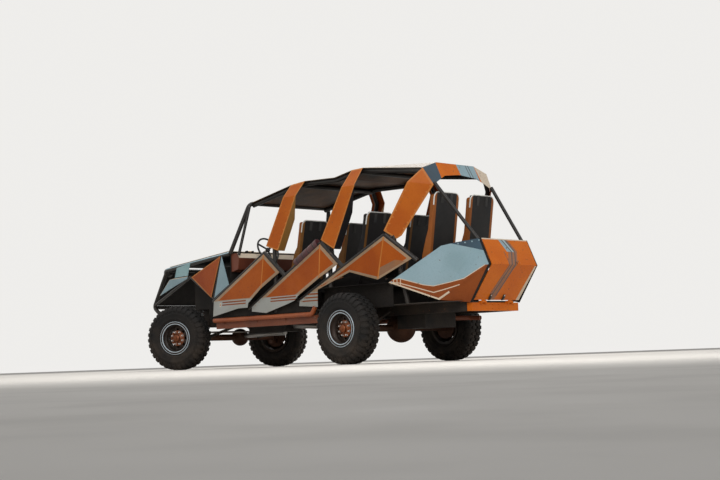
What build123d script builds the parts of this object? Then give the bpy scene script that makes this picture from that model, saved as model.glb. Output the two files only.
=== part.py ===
from build123d import *
import os
from math import cos, radians, sin, sqrt, tan

# Stations run forward from the rear axle, heights up from the ground, all in millimetres.
wheelbase = 3330
track = 1980
body_half = 950
shoulder_half = 860
rear_shoulder_half = 800
belt_z = 1590
tyre_radius = 444.5
tyre_width = 318
rim_radius = 207
rim_width = 270
bore_radius = 40
running_gap = 0.3
panel = 5
tube_radius = 28
slim_radius = 20
rail_half = 430
rail_size = (60, 120)
floor_z = 710
seat_z = 1000
parked_steer = 22
kingpin_offset = 120
arm_length = 140
tow_hole = 12.5
hitch_hole = 6.5
hitch_spacing = (120, 50)

# Seat rows: station of the back's foot, spacing from the middle, width, height of the top, lean.
seat_rows = {
    "front": (1230, 420, 480, 1910, 12),
    "middle": (60, 420, 480, 1910, 12),
    "rear": (-1020, 345, 460, 2060, 9),
}

# Side hoops: belt station, shoulder station and height, crown's leading corner, its trailing station
# and half width, plate width at the shoulder, lower trailing corner of the plate.
hoops = {
    "front": (1486, (1228, 2215), (1190, 740, 2384), (950, 720), 236, (1251, 1514)),
    "middle": (462, (150, 2236), (129, 683, 2462), (-60, 676), 223, (216, 1454)),
}

# Corners of the rear hoop's left plates, from the belt up to the crown.
plate_front = (-625, body_half, 1612)
plate_low = (-729, body_half - 124, 1509)
plate_rear = (-777, body_half - 164, 1547)
rear_shoulder = (-905, rear_shoulder_half, 2190)
roof_corner = (-1010, 620, 2370)
crown_corner = (-1010, 365, 2450)
visor_corner = (-1130, 565, 2150)
visor_low = (-1113, 400, 2235)
arch_side = (300, 2280)
arch_top = 2309

cowl = (wheelbase - 1090, body_half, 1580)
screen_top = (cowl[0] - 250, 760, 2220)
hood_front = (wheelbase + 670, 620, 1480)
nose_tip = (wheelbase + 1090, 540, 930)
nose_lip = (wheelbase + 970, 560, 850)
tail_start = plate_front[0]
tail_half = 450
tail_top = (-1740, 1450)
tail_fold = (-1880, 1130)
tail_low = (-1570, floor_z - 20)

axle_z = tyre_radius
front_axle_x = wheelbase
kingpin_y = track / 2 - kingpin_offset
nose_reach = nose_tip[0] + tube_radius
origin_station = (nose_reach + tail_fold[0] - panel) / 2

# A panel laps its tube by this much, and the tube stands close behind it.
panel_lap = 15
panel_seat = panel / 2 + running_gap
lattice_inset = panel_seat + sqrt(tube_radius**2 - panel_lap**2)
lattice_y = body_half - lattice_inset
leg_y = body_half - tube_radius - 3 * panel
rocker_y = body_half - 35
sill_y = body_half + 5
tub_y = body_half - 165


def rod(start, end, radius):
    """A straight round bar between two points."""
    a, b = Vector(*start), Vector(*end)
    along = b - a
    return extrude(Plane(a, z_dir=along) * Circle(radius), along.length)


def bar(start, end, wide, high):
    """A straight square bar between two points, its high side near vertical."""
    a, b = Vector(*start), Vector(*end)
    along = b - a
    flat = Vector(0, 0, 1).cross(along)
    return extrude(Plane(a, x_dir=flat, z_dir=along) * Rectangle(wide, high), along.length)


def bent_tube(points, radius, bend):
    """A round tube along straight runs joined by bends of one radius."""
    path = FilletPolyline(*points, radius=bend)
    start = Plane(path @ 0, z_dir=path % 0)
    return sweep(start * Circle(radius), path)


def block(low, high):
    """A box from its lowest to its highest corner."""
    size = [b - a for a, b in zip(low, high)]
    return Pos(*low) * Box(*size, align=(Align.MIN,) * 3)


def plate(points, thickness=panel):
    """A flat sheet on coplanar points, half its thickness on each side."""
    return extrude(make_face(Polyline(*points, close=True)), thickness / 2, both=True)


def folded(faces, creases):
    """Flat sheets joined along rounded creases, each a hair slimmer than the sheet."""
    sheet = plate(faces[0])
    for face in faces[1:]:
        sheet += plate(face)
    for start, end in creases:
        sheet += rod(start, end, panel / 2 - 0.1)
    return sheet


def prism(outline, y, thickness):
    """An (x, z) outline given a thickness across the vehicle, centred at y."""
    face = make_face(Polyline(*[(x, y, z) for x, z in outline], close=True))
    return extrude(face, thickness / 2, dir=(0, 1, 0), both=True)


def pair(part):
    """The left piece and its mirror image on the right."""
    return [part, mirror(part, about=Plane.XZ)]


def across(points):
    """Points on the left, then their mirror images back again on the right."""
    return list(points) + [(x, -y, z) for x, y, z in reversed(points)]


def slid(point, a, b, c):
    """A point moved along the vehicle into the plane of three others."""
    normal = (Vector(*b) - Vector(*a)).cross(Vector(*c) - Vector(*a))
    off = (Vector(*point) - Vector(*a)).dot(normal)
    return (point[0] - off / normal.X, point[1], point[2])


def inner_corner(before, corner, after, distance):
    """A (y, z) corner moved inward so that both its runs shift by one distance."""
    runs = [Vector(q[0] - p[0], q[1] - p[1]).normalized() for p, q in ((before, corner), (corner, after))]
    first, second = [Vector(-run.Y, run.X) for run in runs]
    moved = Vector(*corner) + (first + second) * (distance / (1 + first.dot(second)))
    return moved.X, moved.Y


nose_taper = (cowl[1] - hood_front[1]) / (hood_front[0] - cowl[0])
tail_taper = (body_half - tail_half) / (tail_start - tail_top[0])
tail_cos = 1 / sqrt(1 + tail_taper**2)
nose_cos = 1 / sqrt(1 + nose_taper**2)


def nose_y(x):
    """Half width of the tapering nose at a station."""
    return cowl[1] - nose_taper * (x - cowl[0])


def tail_y(x):
    """Half width of the tapering tail at a station."""
    return body_half - tail_taper * (tail_start - x)


def nose_sheet(outline):
    return plate([(x, nose_y(x), z) for x, z in outline])


def tail_sheet(outline):
    return plate([(x, tail_y(x), z) for x, z in outline])


raw = {}


def hoop_facets(name):
    """The plate corners of a side hoop: outer leg, then the facet up to the crown."""
    belt_x, (x, z), lead, (trail_x, trail_y), wide, low = hoops[name]
    leg_slope = (body_half - shoulder_half) / (z - belt_z)
    rise = (lead[2] - z) / (shoulder_half - lead[1])
    low_corner = (low[0], shoulder_half + leg_slope * (z - low[1]), low[1])
    trail = (trail_x, trail_y, z + rise * (shoulder_half - trail_y))
    front, back = (x, shoulder_half, z), (x - wide, shoulder_half, z)
    return [(belt_x, body_half, belt_z), front, back, low_corner], [front, lead, trail, back]


def side_hoop(name):
    """A hoop's tube, seated behind the middle of its plates."""
    belt_x, (x, z), lead, (trail_x, trail_y), wide, low = hoops[name]
    trail_z = hoop_facets(name)[1][2][2]
    crown = ((lead[1] + trail_y) / 2, (lead[2] + trail_z) / 2)
    seat = tube_radius + panel_seat
    shoulder = inner_corner((body_half, belt_z), (shoulder_half, z), crown, seat)
    top = inner_corner((shoulder_half, z), crown, (0, crown[1]), seat)
    leg_x = belt_x - wide / 2
    foot_z = floor_z + 270 if name == "middle" else floor_z
    half = [
        (leg_x, leg_y, foot_z),
        (leg_x, leg_y, belt_z),
        (x - wide / 2, *shoulder),
        ((lead[0] + trail_x) / 2, *top),
    ]
    return bent_tube(across(half), tube_radius, 60)


rear_normal = (Vector(*rear_shoulder) - Vector(*plate_front)).cross(
    Vector(*visor_corner) - Vector(*plate_front)
).normalized()
rear_rail_end = (roof_corner[0] + 25, roof_corner[1] - 20, roof_corner[2] - 40)


def rear_hoop():
    """The rear hoop's tube, behind its broad plates and under the crown."""
    seat = rear_normal * (tube_radius + panel_seat)
    low = (Vector(*plate_front) + Vector(*plate_rear)) * 0.5 + seat
    high = (Vector(*rear_shoulder) + Vector(*visor_corner)) * 0.5 + seat
    high -= (high - low).normalized() * 30
    half = [
        (low.X - 110, low.Y - 110, floor_z + panel),
        tuple(low),
        tuple(high),
        rear_rail_end,
        (crown_corner[0] + 5, crown_corner[1] - 25, crown_corner[2] - 68),
    ]
    return bent_tube(across(half), tube_radius, 60)


raw["roof_hoops"] = [side_hoop("front"), side_hoop("middle"), rear_hoop()]


def side_cladding(name):
    """The broad plate over a side hoop, with a flange turned in along its trailing edge."""
    leg, facet = hoop_facets(name)
    flange_deep = 120
    back, low = leg[2], leg[3]
    flange = [back, (back[0], back[1] - flange_deep, back[2]), (low[0], low[1] - flange_deep, low[2]), low]
    return folded([leg, facet, flange], [(leg[1], leg[2]), (back, low)])


def rear_cladding():
    """The rear hoop's broad leg plate and the triangle above it."""
    base = (plate_front, rear_shoulder, visor_corner)
    rear, low = slid(plate_rear, *base), slid(plate_low, *base)
    leg = [plate_front, rear_shoulder, visor_corner, rear, low]
    return folded([leg, [rear_shoulder, roof_corner, visor_corner]], [(rear_shoulder, visor_corner)])


raw["hoop_cladding"] = [p for name in hoops for p in pair(side_cladding(name))] + pair(rear_cladding())

# Side lattice: foot of each long tube, its peak, and where the short tube behind the peak lands.
side_tubes = {
    "front": ((wheelbase - 730, 911), (1540, 1504), (1160, 1174)),
    "middle": ((1870, 778), (477, 1555), (110, 1217)),
    "rear": ((925, 830), (-625, 1564), (-985, 1225)),
}


def lattice(name):
    foot, peak, landing = side_tubes[name]
    landing_y = lattice_y if name != "rear" else tail_y(landing[0]) - lattice_inset / tail_cos
    top = (peak[0], lattice_y, peak[1])
    return rod((foot[0], lattice_y, foot[1]), top, tube_radius) + rod(
        top, (landing[0], landing_y, landing[1]), tube_radius
    )


raw["side_lattice"] = pair(lattice("front") + lattice("middle") + lattice("rear"))

screen_y = cowl[1] - tube_radius - panel
screen_line = [(cowl[0], screen_y, cowl[2] - 30), screen_top]
screen = bent_tube(across(screen_line), tube_radius, 90)
stay_foot = (cowl[0] - 165, screen_y - 8, cowl[2] - 60)
for stay in pair(rod(stay_foot, (screen_top[0], screen_top[1] - 2, screen_top[2] - 20), slim_radius)):
    screen += stay
raw["windscreen_frame"] = [screen]

# Roof edge: station, half width and height at each cross fold.
front_facet, middle_facet = hoop_facets("front")[1], hoop_facets("middle")[1]
roof_edge = [
    (screen_top[0], 740, 2225),
    front_facet[1],
    front_facet[2],
    (425, 700, 2400),
    middle_facet[1],
    middle_facet[2],
]
rail_drop = tube_radius + panel_seat + 2
rail_line = [(x, y - 50, z - rail_drop) for x, y, z in roof_edge] + [rear_rail_end]
stay_top = (visor_corner[0] - 5, visor_corner[1] - 9, visor_corner[2] + 25)
tail_beam = (tail_top[0] + 50, tail_half - 20, tail_top[1] - 50)
roof_rails = pair(bent_tube(rail_line, tube_radius, 90))
roof_rails += pair(rod(stay_top, (tail_beam[0] + 6, tail_beam[1], tail_beam[2] + 30), 22))
raw["roof_rails"] = roof_rails

raw["roof_panels"] = [plate(across([a, b])) for a, b in zip(roof_edge, roof_edge[1:])]
last_edge = roof_edge[-1]
rear_roof = [across([last_edge, crown_corner])]
for side in (1, -1):
    rear_roof.append([(x, side * y, z) for x, y, z in (last_edge, roof_corner, crown_corner)])
raw["roof_panels"].append(folded(rear_roof, [(last_edge, crown_corner)]))

# Folded side panels: tip, upper front corner, rear corner, foot of the crease, lower front corners.
panel_lean = 0.15
side_skins = {
    "front": (
        (1541, 1488), (2564, 915), (1246, 1230), (1546, 1037),
        [(2555, 710), (2007, 796), (1808, 797), (1801, 855)],
    ),
    "middle": (
        (478, 1537), (1791, 805), (175, 1263), (459, 1103),
        [(1792, 744), (1481, 710), (1026, 812), (916, 843), (854, 900)],
    ),
}


def side_skin(name):
    """A panel flat on its tubes, whose front part leans out towards the foot of its crease."""
    tip, front, corner, foot, lower = side_skins[name]
    edge = Vector(front[0] - tip[0], front[1] - tip[1]).normalized()

    def leaning(x, z):
        below = abs(Vector(x - tip[0], z - tip[1]).cross(edge).Z)
        return (x, body_half + panel_lean * below, z)

    top, bottom = leaning(*tip), leaning(*foot)
    back = [top, bottom, (corner[0], body_half, corner[1])]
    return folded([[leaning(*p) for p in (tip, front, *lower, foot)], back], [(top, bottom)])


rear_tip, rear_crease, rear_corner = (-620, 1545), (-500, 1022), (-942, 1252)
arch_edge = [(-28, 1147), (549, 960), (556, 742), (890, 770), (880, 835)]
rear_bend = [(x, body_half, z) for x, z in (rear_tip, rear_crease)]
rear_wing = [(rear_corner[0], tail_y(rear_corner[0]), rear_corner[1]), *rear_bend]
rear_skin = folded([rear_bend + [(x, body_half, z) for x, z in arch_edge], rear_wing], [])
raw["side_panels"] = [p for name in side_skins for p in pair(side_skin(name))] + pair(rear_skin)

tip, upper, vee = (-662, 975), (-1283, 1384), (-1233, 737)
corner_y = tail_half + 8
fold_corner = (tail_fold[0] + 5, corner_y, tail_fold[1])
low_corner = (tail_low[0] - 5, corner_y, tail_low[1])
vee_point = (vee[0], tail_y(vee[0]), vee[1])
top_x = tail_top[0] + 5
top_flat = (top_x, tail_y(top_x), tail_top[1])
quarter = tail_sheet([tip, upper, (-1458, 1416), (top_x, tail_top[1]), vee])
quarter += folded(
    [[top_flat, fold_corner, vee_point], [vee_point, fold_corner, low_corner]],
    [(top_flat, vee_point), (vee_point, fold_corner)],
)
raw["quarter_panels"] = pair(quarter)
tail_tube = [(-660, 960), (-1283, 1324), (-1458, 1366), (tail_beam[0], tail_beam[2])]
tail_frame = rod(tail_beam, (tail_beam[0], -tail_beam[1], tail_beam[2]), 22)
for tube in pair(bent_tube([(x, tail_y(x) - 25, z) for x, z in tail_tube], 22, 120)):
    tail_frame += tube
raw["tail_frame"] = [tail_frame]


def visor():
    """The roof's folded rear visor, arched over the rear window."""
    low = slid(visor_low, roof_corner, crown_corner, visor_corner)
    far_crown = (crown_corner[0], -crown_corner[1], crown_corner[2])
    arch = slid((0, *arch_side), crown_corner, far_crown, low)
    middle = across([crown_corner, low, arch])
    middle.insert(3, slid((0, 0, arch_top), crown_corner, far_crown, low))
    faces, creases = [middle], []
    for side in (1, -1):
        faces.append([(x, side * y, z) for x, y, z in (roof_corner, crown_corner, low, visor_corner)])
        creases.append([(x, side * y, z) for x, y, z in (crown_corner, low)])
    return folded(faces, creases)


raw["rear_visor"] = [visor()]

hinge_x, hinge_z = tail_low[0] - 8, floor_z - 10
hinge_pin, hinge_eye = 8, 14
hinge_at = (-260, 260)


def hatch():
    """The folded tail door with two hinge eyes on its lower edge and a round latch at the fold."""
    half = tail_half - 12
    line = [(tail_low[0] - 10, tail_low[1] + 30), tail_fold, tail_top]
    inner = [(x + panel * 2, z) for x, z in reversed(line)]
    door = prism(line + inner, 0, 2 * half)
    door += rod((tail_fold[0] + 25, -70, tail_fold[1] + 25), (tail_fold[0] - 3, -70, tail_fold[1] + 25), 24)
    for place in hinge_at:
        leaf = block((hinge_x - 6, place - 30, hinge_z), (hinge_x + 4, place + 30, hinge_z + 60))
        eye = rod((hinge_x, place - 30, hinge_z), (hinge_x, place + 30, hinge_z), hinge_eye)
        bore = rod((hinge_x, place - 40, hinge_z), (hinge_x, place + 40, hinge_z), hinge_pin + running_gap)
        door = door + leaf + eye - bore
    return door


raw["rear_hatch"] = [hatch()]
bumper_back, bumper_z = tail_low[0] + 10, floor_z - 70
bumper = block((bumper_back, -tail_half, bumper_z - 50), (bumper_back + 80, tail_half, bumper_z + 50))
for place in hinge_at:
    bumper += rod((hinge_x, place - 50, hinge_z), (hinge_x, place + 50, hinge_z), hinge_pin)
    for side in (-1, 1):
        middle = place + side * 42
        low, high = (hinge_x - 12, middle - 8, hinge_z - 25), (bumper_back + 20, middle + 8, hinge_z + 12)
        bumper += block(low, high)
for y in (-hitch_spacing[0] / 2, hitch_spacing[0] / 2):
    for z in (bumper_z - hitch_spacing[1] / 2, bumper_z + hitch_spacing[1] / 2):
        bumper -= rod((bumper_back - 1, y, z), (bumper_back + 40, y, z), hitch_hole)
raw["rear_bumper"] = [bumper]

hood_gap = 45
hood_lift = 12
hood_points = [(cowl[0] + 60, cowl[1] - hood_gap - 10), (hood_front[0] - 40, hood_front[1] - hood_gap)]


def hood_z(x):
    share = (x - cowl[0]) / (hood_front[0] - cowl[0])
    return cowl[2] + share * (hood_front[2] - cowl[2]) + hood_lift


axis_x, hood_axis_z = cowl[0] + 30, cowl[2] + hood_lift
hood_pin = 6
hood_hinges = (-(body_half - 400), body_half - 400)


def hinge_rod(place, half, radius):
    """A round bar on the hood's hinge axis."""
    return rod((axis_x, place - half, hood_axis_z), (axis_x, place + half, hood_axis_z), radius)


lid = plate(across([(x, y, hood_z(x)) for x, y in hood_points]), 8)
for place in hood_hinges:
    leaf = block((axis_x, place - 40, hood_axis_z - 4), (axis_x + 40, place + 40, hood_axis_z + 2))
    lid = lid + leaf + hinge_rod(place, 40, 12) - hinge_rod(place, 50, hood_pin + running_gap)
raw["hood"] = [lid]
# Round lamps set in the nose panel, in front of its upper tube.
lamp_radius, lamp_deep = 65, 100
lamp_line = [(0, 0), (0, 36), (lamp_deep / 2, lamp_radius), (lamp_deep, lamp_radius), (lamp_deep, 0)]
spot = revolve(make_face(Polyline(*lamp_line, close=True)), Axis.X)
lamp_y = hood_front[1] - 2 * lamp_radius
raw["spot_lamps"] = [
    Pos(hood_front[0] + tube_radius + running_gap, y, hood_front[2] - 60) * spot for y in (-lamp_y, lamp_y)
]
nose_face = [
    (hood_front[0] + 10, hood_front[1] - 30, hood_front[2] - 10),
    (nose_tip[0] - 10, nose_tip[1] - 30, nose_tip[2] + 30),
]
raw["nose_panel"] = [plate(across(nose_face))]
edge = tube_radius + 2
nose_run = [
    (cowl[0], cowl[1] - edge, cowl[2] - edge),
    (hood_front[0], hood_front[1] - edge, hood_front[2] - edge),
    (nose_tip[0], nose_tip[1] - edge, nose_tip[2]),
    (nose_lip[0], nose_lip[1] - edge, nose_lip[2]),
    (hood_front[0] - 100, rail_half, floor_z - 40),
]
raw["nose_side_tubes"] = pair(bent_tube(nose_run, tube_radius, 50))
raw["nose_cross_tubes"] = [
    rod((x, y - 5, z), (x, 5 - y, z), tube_radius) for x, y, z in (nose_run[1], nose_run[2])
]
# Nose side panels: stations from the front axle and heights.
nose_skins = {
    "orange": [(-878, 1532), (-74, 1299), (-605, 980)],
    "blue": [(-910, 1530), (-1080, 1132), (-690, 974)],
    "lamp": [(-50, 1500), (28, 1328), (399, 1324), (340, 1460)],
    "strip": [(28, 1318), (399, 1314), (553, 1304), (862, 1088), (472, 1187), (53, 1285)],
}
raw["front_fenders"] = [
    p for outline in nose_skins.values() for p in pair(nose_sheet([(wheelbase + x, z) for x, z in outline]))
]
fender_lines = [((-890, 1545), (-650, 955)), ((-30, 1300), (-670, 955)), ((1050, 960), (-30, 1310))]
fender_seat = (slim_radius + panel_seat) / nose_cos
fender_tubes = [
    rod(*[(wheelbase + x, nose_y(wheelbase + x) - fender_seat, z) for x, z in line], slim_radius)
    for line in fender_lines
]
raw["fender_tubes"] = pair(fender_tubes[0] + fender_tubes[1] + fender_tubes[2])

wall = block((cowl[0], -rocker_y, floor_z + panel), (cowl[0] + panel, rocker_y, cowl[2] - 25))
wall += block((cowl[0] - 60, -rocker_y, cowl[2] - 30), (cowl[0] + panel, rocker_y, cowl[2] - 25))
for place in hood_hinges:
    wall += hinge_rod(place, 60, hood_pin)
    for side in (-1, 1):
        middle = place + side * 52
        wall += block((cowl[0] - 10, middle - 7, cowl[2] - 30), (axis_x + 8, middle + 7, hood_axis_z + 8))
raw["firewall"] = [wall]
# Dashboard section, measured back from the cowl and down from its height.
dash_line = [(0, 30), (120, 30), (160, 95), (130, 250), (0, 280)]
raw["dashboard"] = [prism([(cowl[0] - x, cowl[2] - z) for x, z in dash_line], 0, 2 * (body_half - 50))]
wheel_centre = Vector(cowl[0] - 230, 430, cowl[2] + 20)
column_axis = Vector(-cos(radians(25)), 0, sin(radians(25)))
column_plane = Plane(wheel_centre, x_dir=(0, 1, 0), z_dir=column_axis)
column_radius = 10
raw["steering_column"] = [
    extrude(column_plane.offset(-30) * Circle(22), -130)
    + extrude(column_plane.offset(-30) * Circle(column_radius), 30)
]
steering = Torus(175, 13) + Cylinder(30, 24)
for turn in (90, 210, 330):
    steering += Rot(0, 0, turn) * Pos(95, 0, 0) * Box(150, 30, 6)
steering -= Cylinder(column_radius + running_gap, 60)
raw["steering_wheel"] = [column_plane.location * steering]

# Coil springs: station, offset from the middle and height of the bracket over each.
springs = {"rear": (0, 560, floor_z - 20), "front": (front_axle_x, 560, floor_z + 125)}
spring_foot = axle_z + 60
rail_z = floor_z - rail_size[1] / 2
rail_inner = rail_half - rail_size[0] / 2
rail_outer = rail_half + rail_size[0] / 2
rail_front = hood_front[0] - 50
tow_eye = (rail_front + 45, rail_z - 20)


def chassis_rail():
    """One side rail with its spring brackets and a tow eye at its front end."""
    rail = bar((tail_low[0] + 90, rail_half, rail_z), (rail_front, rail_half, rail_z), *rail_size)
    for x, y, top in springs.values():
        rail += block((x - 80, rail_outer - 5, top), (x + 80, y + 75, top + 10))
        if top > floor_z:
            rail += block((x - 80, rail_outer - 5, floor_z - 100), (x + 80, rail_outer + 6, top + 10))
    x, z = tow_eye
    eye = rod((x, rail_half - 10, z), (x, rail_half + 10, z), 30)
    eye += block((rail_front - 10, rail_half - 10, z - 30), (x, rail_half + 10, z + 30))
    return rail + (eye - rod((x, rail_half - 20, z), (x, rail_half + 20, z), tow_hole))


raw["chassis_rails"] = pair(chassis_rail())
cross_x = (-1420, -650, 640, 1650, rail_front - 50)
out_x = (640, 1200, 1750, 2400)
mount_x = wheelbase - 330
cross = [bar((x, rail_inner, rail_z), (x, -rail_inner, rail_z), 60, 80) for x in cross_x]
cross += pair(block((mount_x - 50, 330, floor_z - 90), (mount_x + 50, rail_inner, floor_z - 40)))
side_frame = block((600, rocker_y - 55, floor_z - 170), (wheelbase - 770, rocker_y + 5, floor_z - 70))
for x in out_x:
    side_frame += block((x - 20, rail_outer, floor_z - 110), (x + 20, rocker_y - 45, floor_z - 50))
    side_frame += block((x - 20, rocker_y - 5, floor_z - 110), (x + 20, rocker_y + 15, floor_z - 70))
raw["crossmembers"] = cross
raw["side_rails"] = pair(side_frame)
floor_edge = [(cowl[0] + 10, rocker_y), (600, rocker_y), (600, tub_y - 5), (-1000, tub_y - 5), (-1480, 560)]
floor_outline = [(x, y, floor_z) for x, y in floor_edge]
raw["floor_pan"] = [
    extrude(make_face(Polyline(*across(floor_outline), close=True)), panel, dir=(0, 0, 1))
]
sill_z = floor_z - 55
raw["sill_tubes"] = pair(
    bent_tube([(wheelbase - 770, sill_y, sill_z), (660, sill_y, sill_z), (600, sill_y, sill_z + 85)], 30, 50)
)
rocker = block((600, rocker_y, floor_z - 65), (wheelbase - 760, rocker_y + panel, floor_z + 170))
shelf_z = floor_z + 265
tub = block((-600, tub_y, floor_z - 20), (590, tub_y + panel, shelf_z + panel))
shelf = block((-600, tub_y, shelf_z), (590, body_half - 15, shelf_z + panel))
raw["inner_panels"] = pair(rocker) + pair(tub + shelf)


def back_face(x, z, lean):
    """Station of a leaning back plate's middle at a height."""
    return x + 40 - (z - seat_z + 10) * tan(radians(lean))


def seat_shell(x, y, wide, top, lean):
    """A bucket seat's shell on its box: pan, rounded back plate and a wing along each side."""
    tall = (top - seat_z + 10) / cos(radians(lean))
    pan = Pos(x + 285, y, seat_z) * Box(490, wide, 12)
    box_high = seat_z - floor_z - panel
    stand = Pos(x + 290, y, floor_z + panel + box_high / 2) * Box(360, wide - 180, box_high)
    upright = Pos(x + 40, y, seat_z - 10) * Rot(0, -lean, 0) * Pos(0, 0, tall / 2) * Rot(0, 90, 0)
    shell = pan + stand + upright * extrude(RectangleRounded(tall, wide, 70), 7, both=True)
    # Heights above the pan and depths of the wing's upper edge, up the back.
    wing = [(125, 120), (300, 120), (500, 85), (top - seat_z - 270, 12)]
    outline = [(x + 40, seat_z), (x + 525, seat_z), (x + 525, seat_z + 75), (x + 300, seat_z + 110)]
    outline += [(back_face(x, seat_z + up, lean) + deep, seat_z + up) for up, deep in wing]
    outline.append((back_face(x, seat_z + wing[-1][0], lean), seat_z + wing[-1][0]))
    for side in (-1, 1):
        shell += prism(outline, y + side * (wide / 2 - 6), 12)
    return shell


def cushions(x, y, wide, top, lean):
    """The seat and back cushions between a shell's wings."""
    tall = (top - seat_z + 10) / cos(radians(lean))
    inside = wide - 24 - 2 * running_gap
    seat = Pos(x + 310, y, seat_z + 6 + running_gap + 55) * Box(420, inside, 110)
    upright = Pos(x + 40, y, seat_z - 10) * Rot(0, -lean, 0)
    back = upright * Pos(57 + running_gap, 0, 155 + (tall - 165) / 2) * Box(100, inside, tall - 165)
    return [seat, back]


raw["seat_shells"] = []
raw["seat_cushions"] = []
for x, y, wide, top, lean in seat_rows.values():
    for side in (-1, 1):
        raw["seat_shells"].append(seat_shell(x, side * y, wide, top, lean))
        raw["seat_cushions"] += cushions(x, side * y, wide, top, lean)

engine_back, engine_low = wheelbase - 580, floor_z - 110
raw["engine_block"] = [block((engine_back, -330, engine_low), (wheelbase + 370, 330, hood_front[2] - 50))]
raw["gearbox"] = [block((engine_back - 750, -150, floor_z - 230), (engine_back, 150, floor_z - 10))]
raw["fuel_tank"] = [block((-760, -190, floor_z - 290), (-300, rail_inner, floor_z - 70))]

# Exhaust: out of the engine, back beside the gearbox, then outward behind the right rear wheel.
pipe_z = floor_z - 165
pipe_line = [
    (engine_back + 150, -270, engine_low + 40),
    (engine_back - 20, -270, pipe_z),
    (-430, -270, pipe_z),
    (-640, -620, pipe_z),
    (-800, -640, pipe_z - 10),
]
exhaust = bent_tube(pipe_line, 30, 80) + rod((850, -270, pipe_z), (1450, -270, pipe_z), 75)
exhaust -= rod(pipe_line[-1], (-720, -632, pipe_z - 5), 26)
for x in (640, 1650):
    exhaust += block((x - 15, -285, pipe_z), (x + 15, -255, rail_z - 30))
exhaust += block((-555, -rail_half - 10, pipe_z), (-525, -rail_half + 10, rail_z - 50))
raw["exhaust"] = [exhaust]


def axle(x, diff_y, diff_r, end):
    tube = rod((x, -end, axle_z), (x, end, axle_z), 45)
    return tube + Pos(x, diff_y, axle_z) * Sphere(diff_r)


def spring_perch(x, y):
    return Pos(x, y, spring_foot - 10) * Cylinder(70, 20) + Pos(x, y, axle_z + 25) * Box(60, 60, 50)


hub_inner = track / 2 - 40
spindle_end = track / 2 + 25
drum_radius = 150
rear = axle(0, 0, 190, hub_inner)
rear += rod((0, -spindle_end, axle_z), (0, spindle_end, axle_z), bore_radius - running_gap)
front = axle(front_axle_x, -190, 125, kingpin_y - 50)
yoke_z, yoke_thick = 75, 22
king_radius = 15
yoke_top = axle_z + yoke_z + yoke_thick
for side in (-1, 1):
    rear += rod((0, side * (hub_inner - 70), axle_z), (0, side * (hub_inner - 20), axle_z), drum_radius)
    rear += spring_perch(0, side * springs["rear"][1])
    front += spring_perch(front_axle_x, side * springs["front"][1])
    near, far = sorted((side * (kingpin_y - 75), side * (kingpin_y - 45)))
    front += block((front_axle_x - 30, near, 2 * axle_z - yoke_top), (front_axle_x + 30, far, yoke_top))
    for up in (-1, 1):
        ear_z = axle_z + up * (yoke_z + yoke_thick / 2)
        ear = Pos(front_axle_x, side * kingpin_y, ear_z) * Cylinder(28, yoke_thick)
        ear += Pos(front_axle_x, side * (kingpin_y - 30), ear_z) * Box(56, 60, yoke_thick)
        front += ear - Pos(front_axle_x, side * kingpin_y, ear_z) * Cylinder(king_radius, yoke_thick * 2)
raw["rear_axle"] = [rear]
raw["front_axle"] = [front]

ball_radius = 8
arm_up = 45


def knuckle(side):
    """The steering knuckle about its kingpin, wheels straight ahead."""
    core = Box(50, 50, 140) + Cylinder(king_radius - running_gap, 2 * (yoke_z + yoke_thick))
    core += rod((0, 0, 0), (0, side * (kingpin_offset + 25), 0), bore_radius - running_gap)
    core += rod((0, side * (kingpin_offset - 78), 0), (0, side * (kingpin_offset - 60), 0), drum_radius)
    arm = Pos(-arm_length / 2 - 10, 0, arm_up) * Box(arm_length - 20, 30, 18)
    arm += Pos(-arm_length, 0, arm_up) * Cylinder(20, 18)
    return core + arm + rod((-arm_length, 0, arm_up), (-arm_length, 0, arm_up + 45), ball_radius)


for word, side in (("left", 1), ("right", -1)):
    place = Pos(front_axle_x, side * kingpin_y, axle_z) * Rot(0, 0, parked_steer)
    raw["knuckle_" + word] = [place * knuckle(side)]

ball = (-arm_length * cos(radians(parked_steer)), -arm_length * sin(radians(parked_steer)))
rod_z = axle_z + arm_up + 27
rod_x = front_axle_x + ball[0]
jog = 70
tie = bent_tube(
    [
        (rod_x, kingpin_y + ball[1] - 12, rod_z),
        (rod_x, 480, rod_z),
        (rod_x - jog, 330, rod_z),
        (rod_x - jog, -480, rod_z),
        (rod_x, -630, rod_z),
        (rod_x, -kingpin_y + ball[1] + 12, rod_z),
    ],
    13,
    60,
)
for side in (-1, 1):
    eye = Pos(rod_x, side * kingpin_y + ball[1], rod_z)
    tie += eye * Cylinder(20, 28)
    tie -= eye * Cylinder(ball_radius + running_gap, 60)
raw["tie_rod"] = [tie]


def tyre():
    half = tyre_width / 2
    bead = rim_width / 2 - 19
    heel, crown = rim_radius + 19, tyre_radius - 20.5
    bulge = (heel + crown) / 2
    edge, tread = half - 30, half - 50
    wall = ThreePointArc((heel, bead), (bulge, half), (crown, edge))
    outline = Polyline((crown, edge), (tyre_radius, tread), (tyre_radius, -tread), (crown, -edge))
    far = ThreePointArc((crown, -edge), (bulge, -half), (heel, -bead))
    inner = Polyline((heel, -bead), (rim_radius, -bead), (rim_radius, bead), (heel, bead))
    return revolve(make_face(wall + outline + far + inner), Axis.Y)


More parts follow.
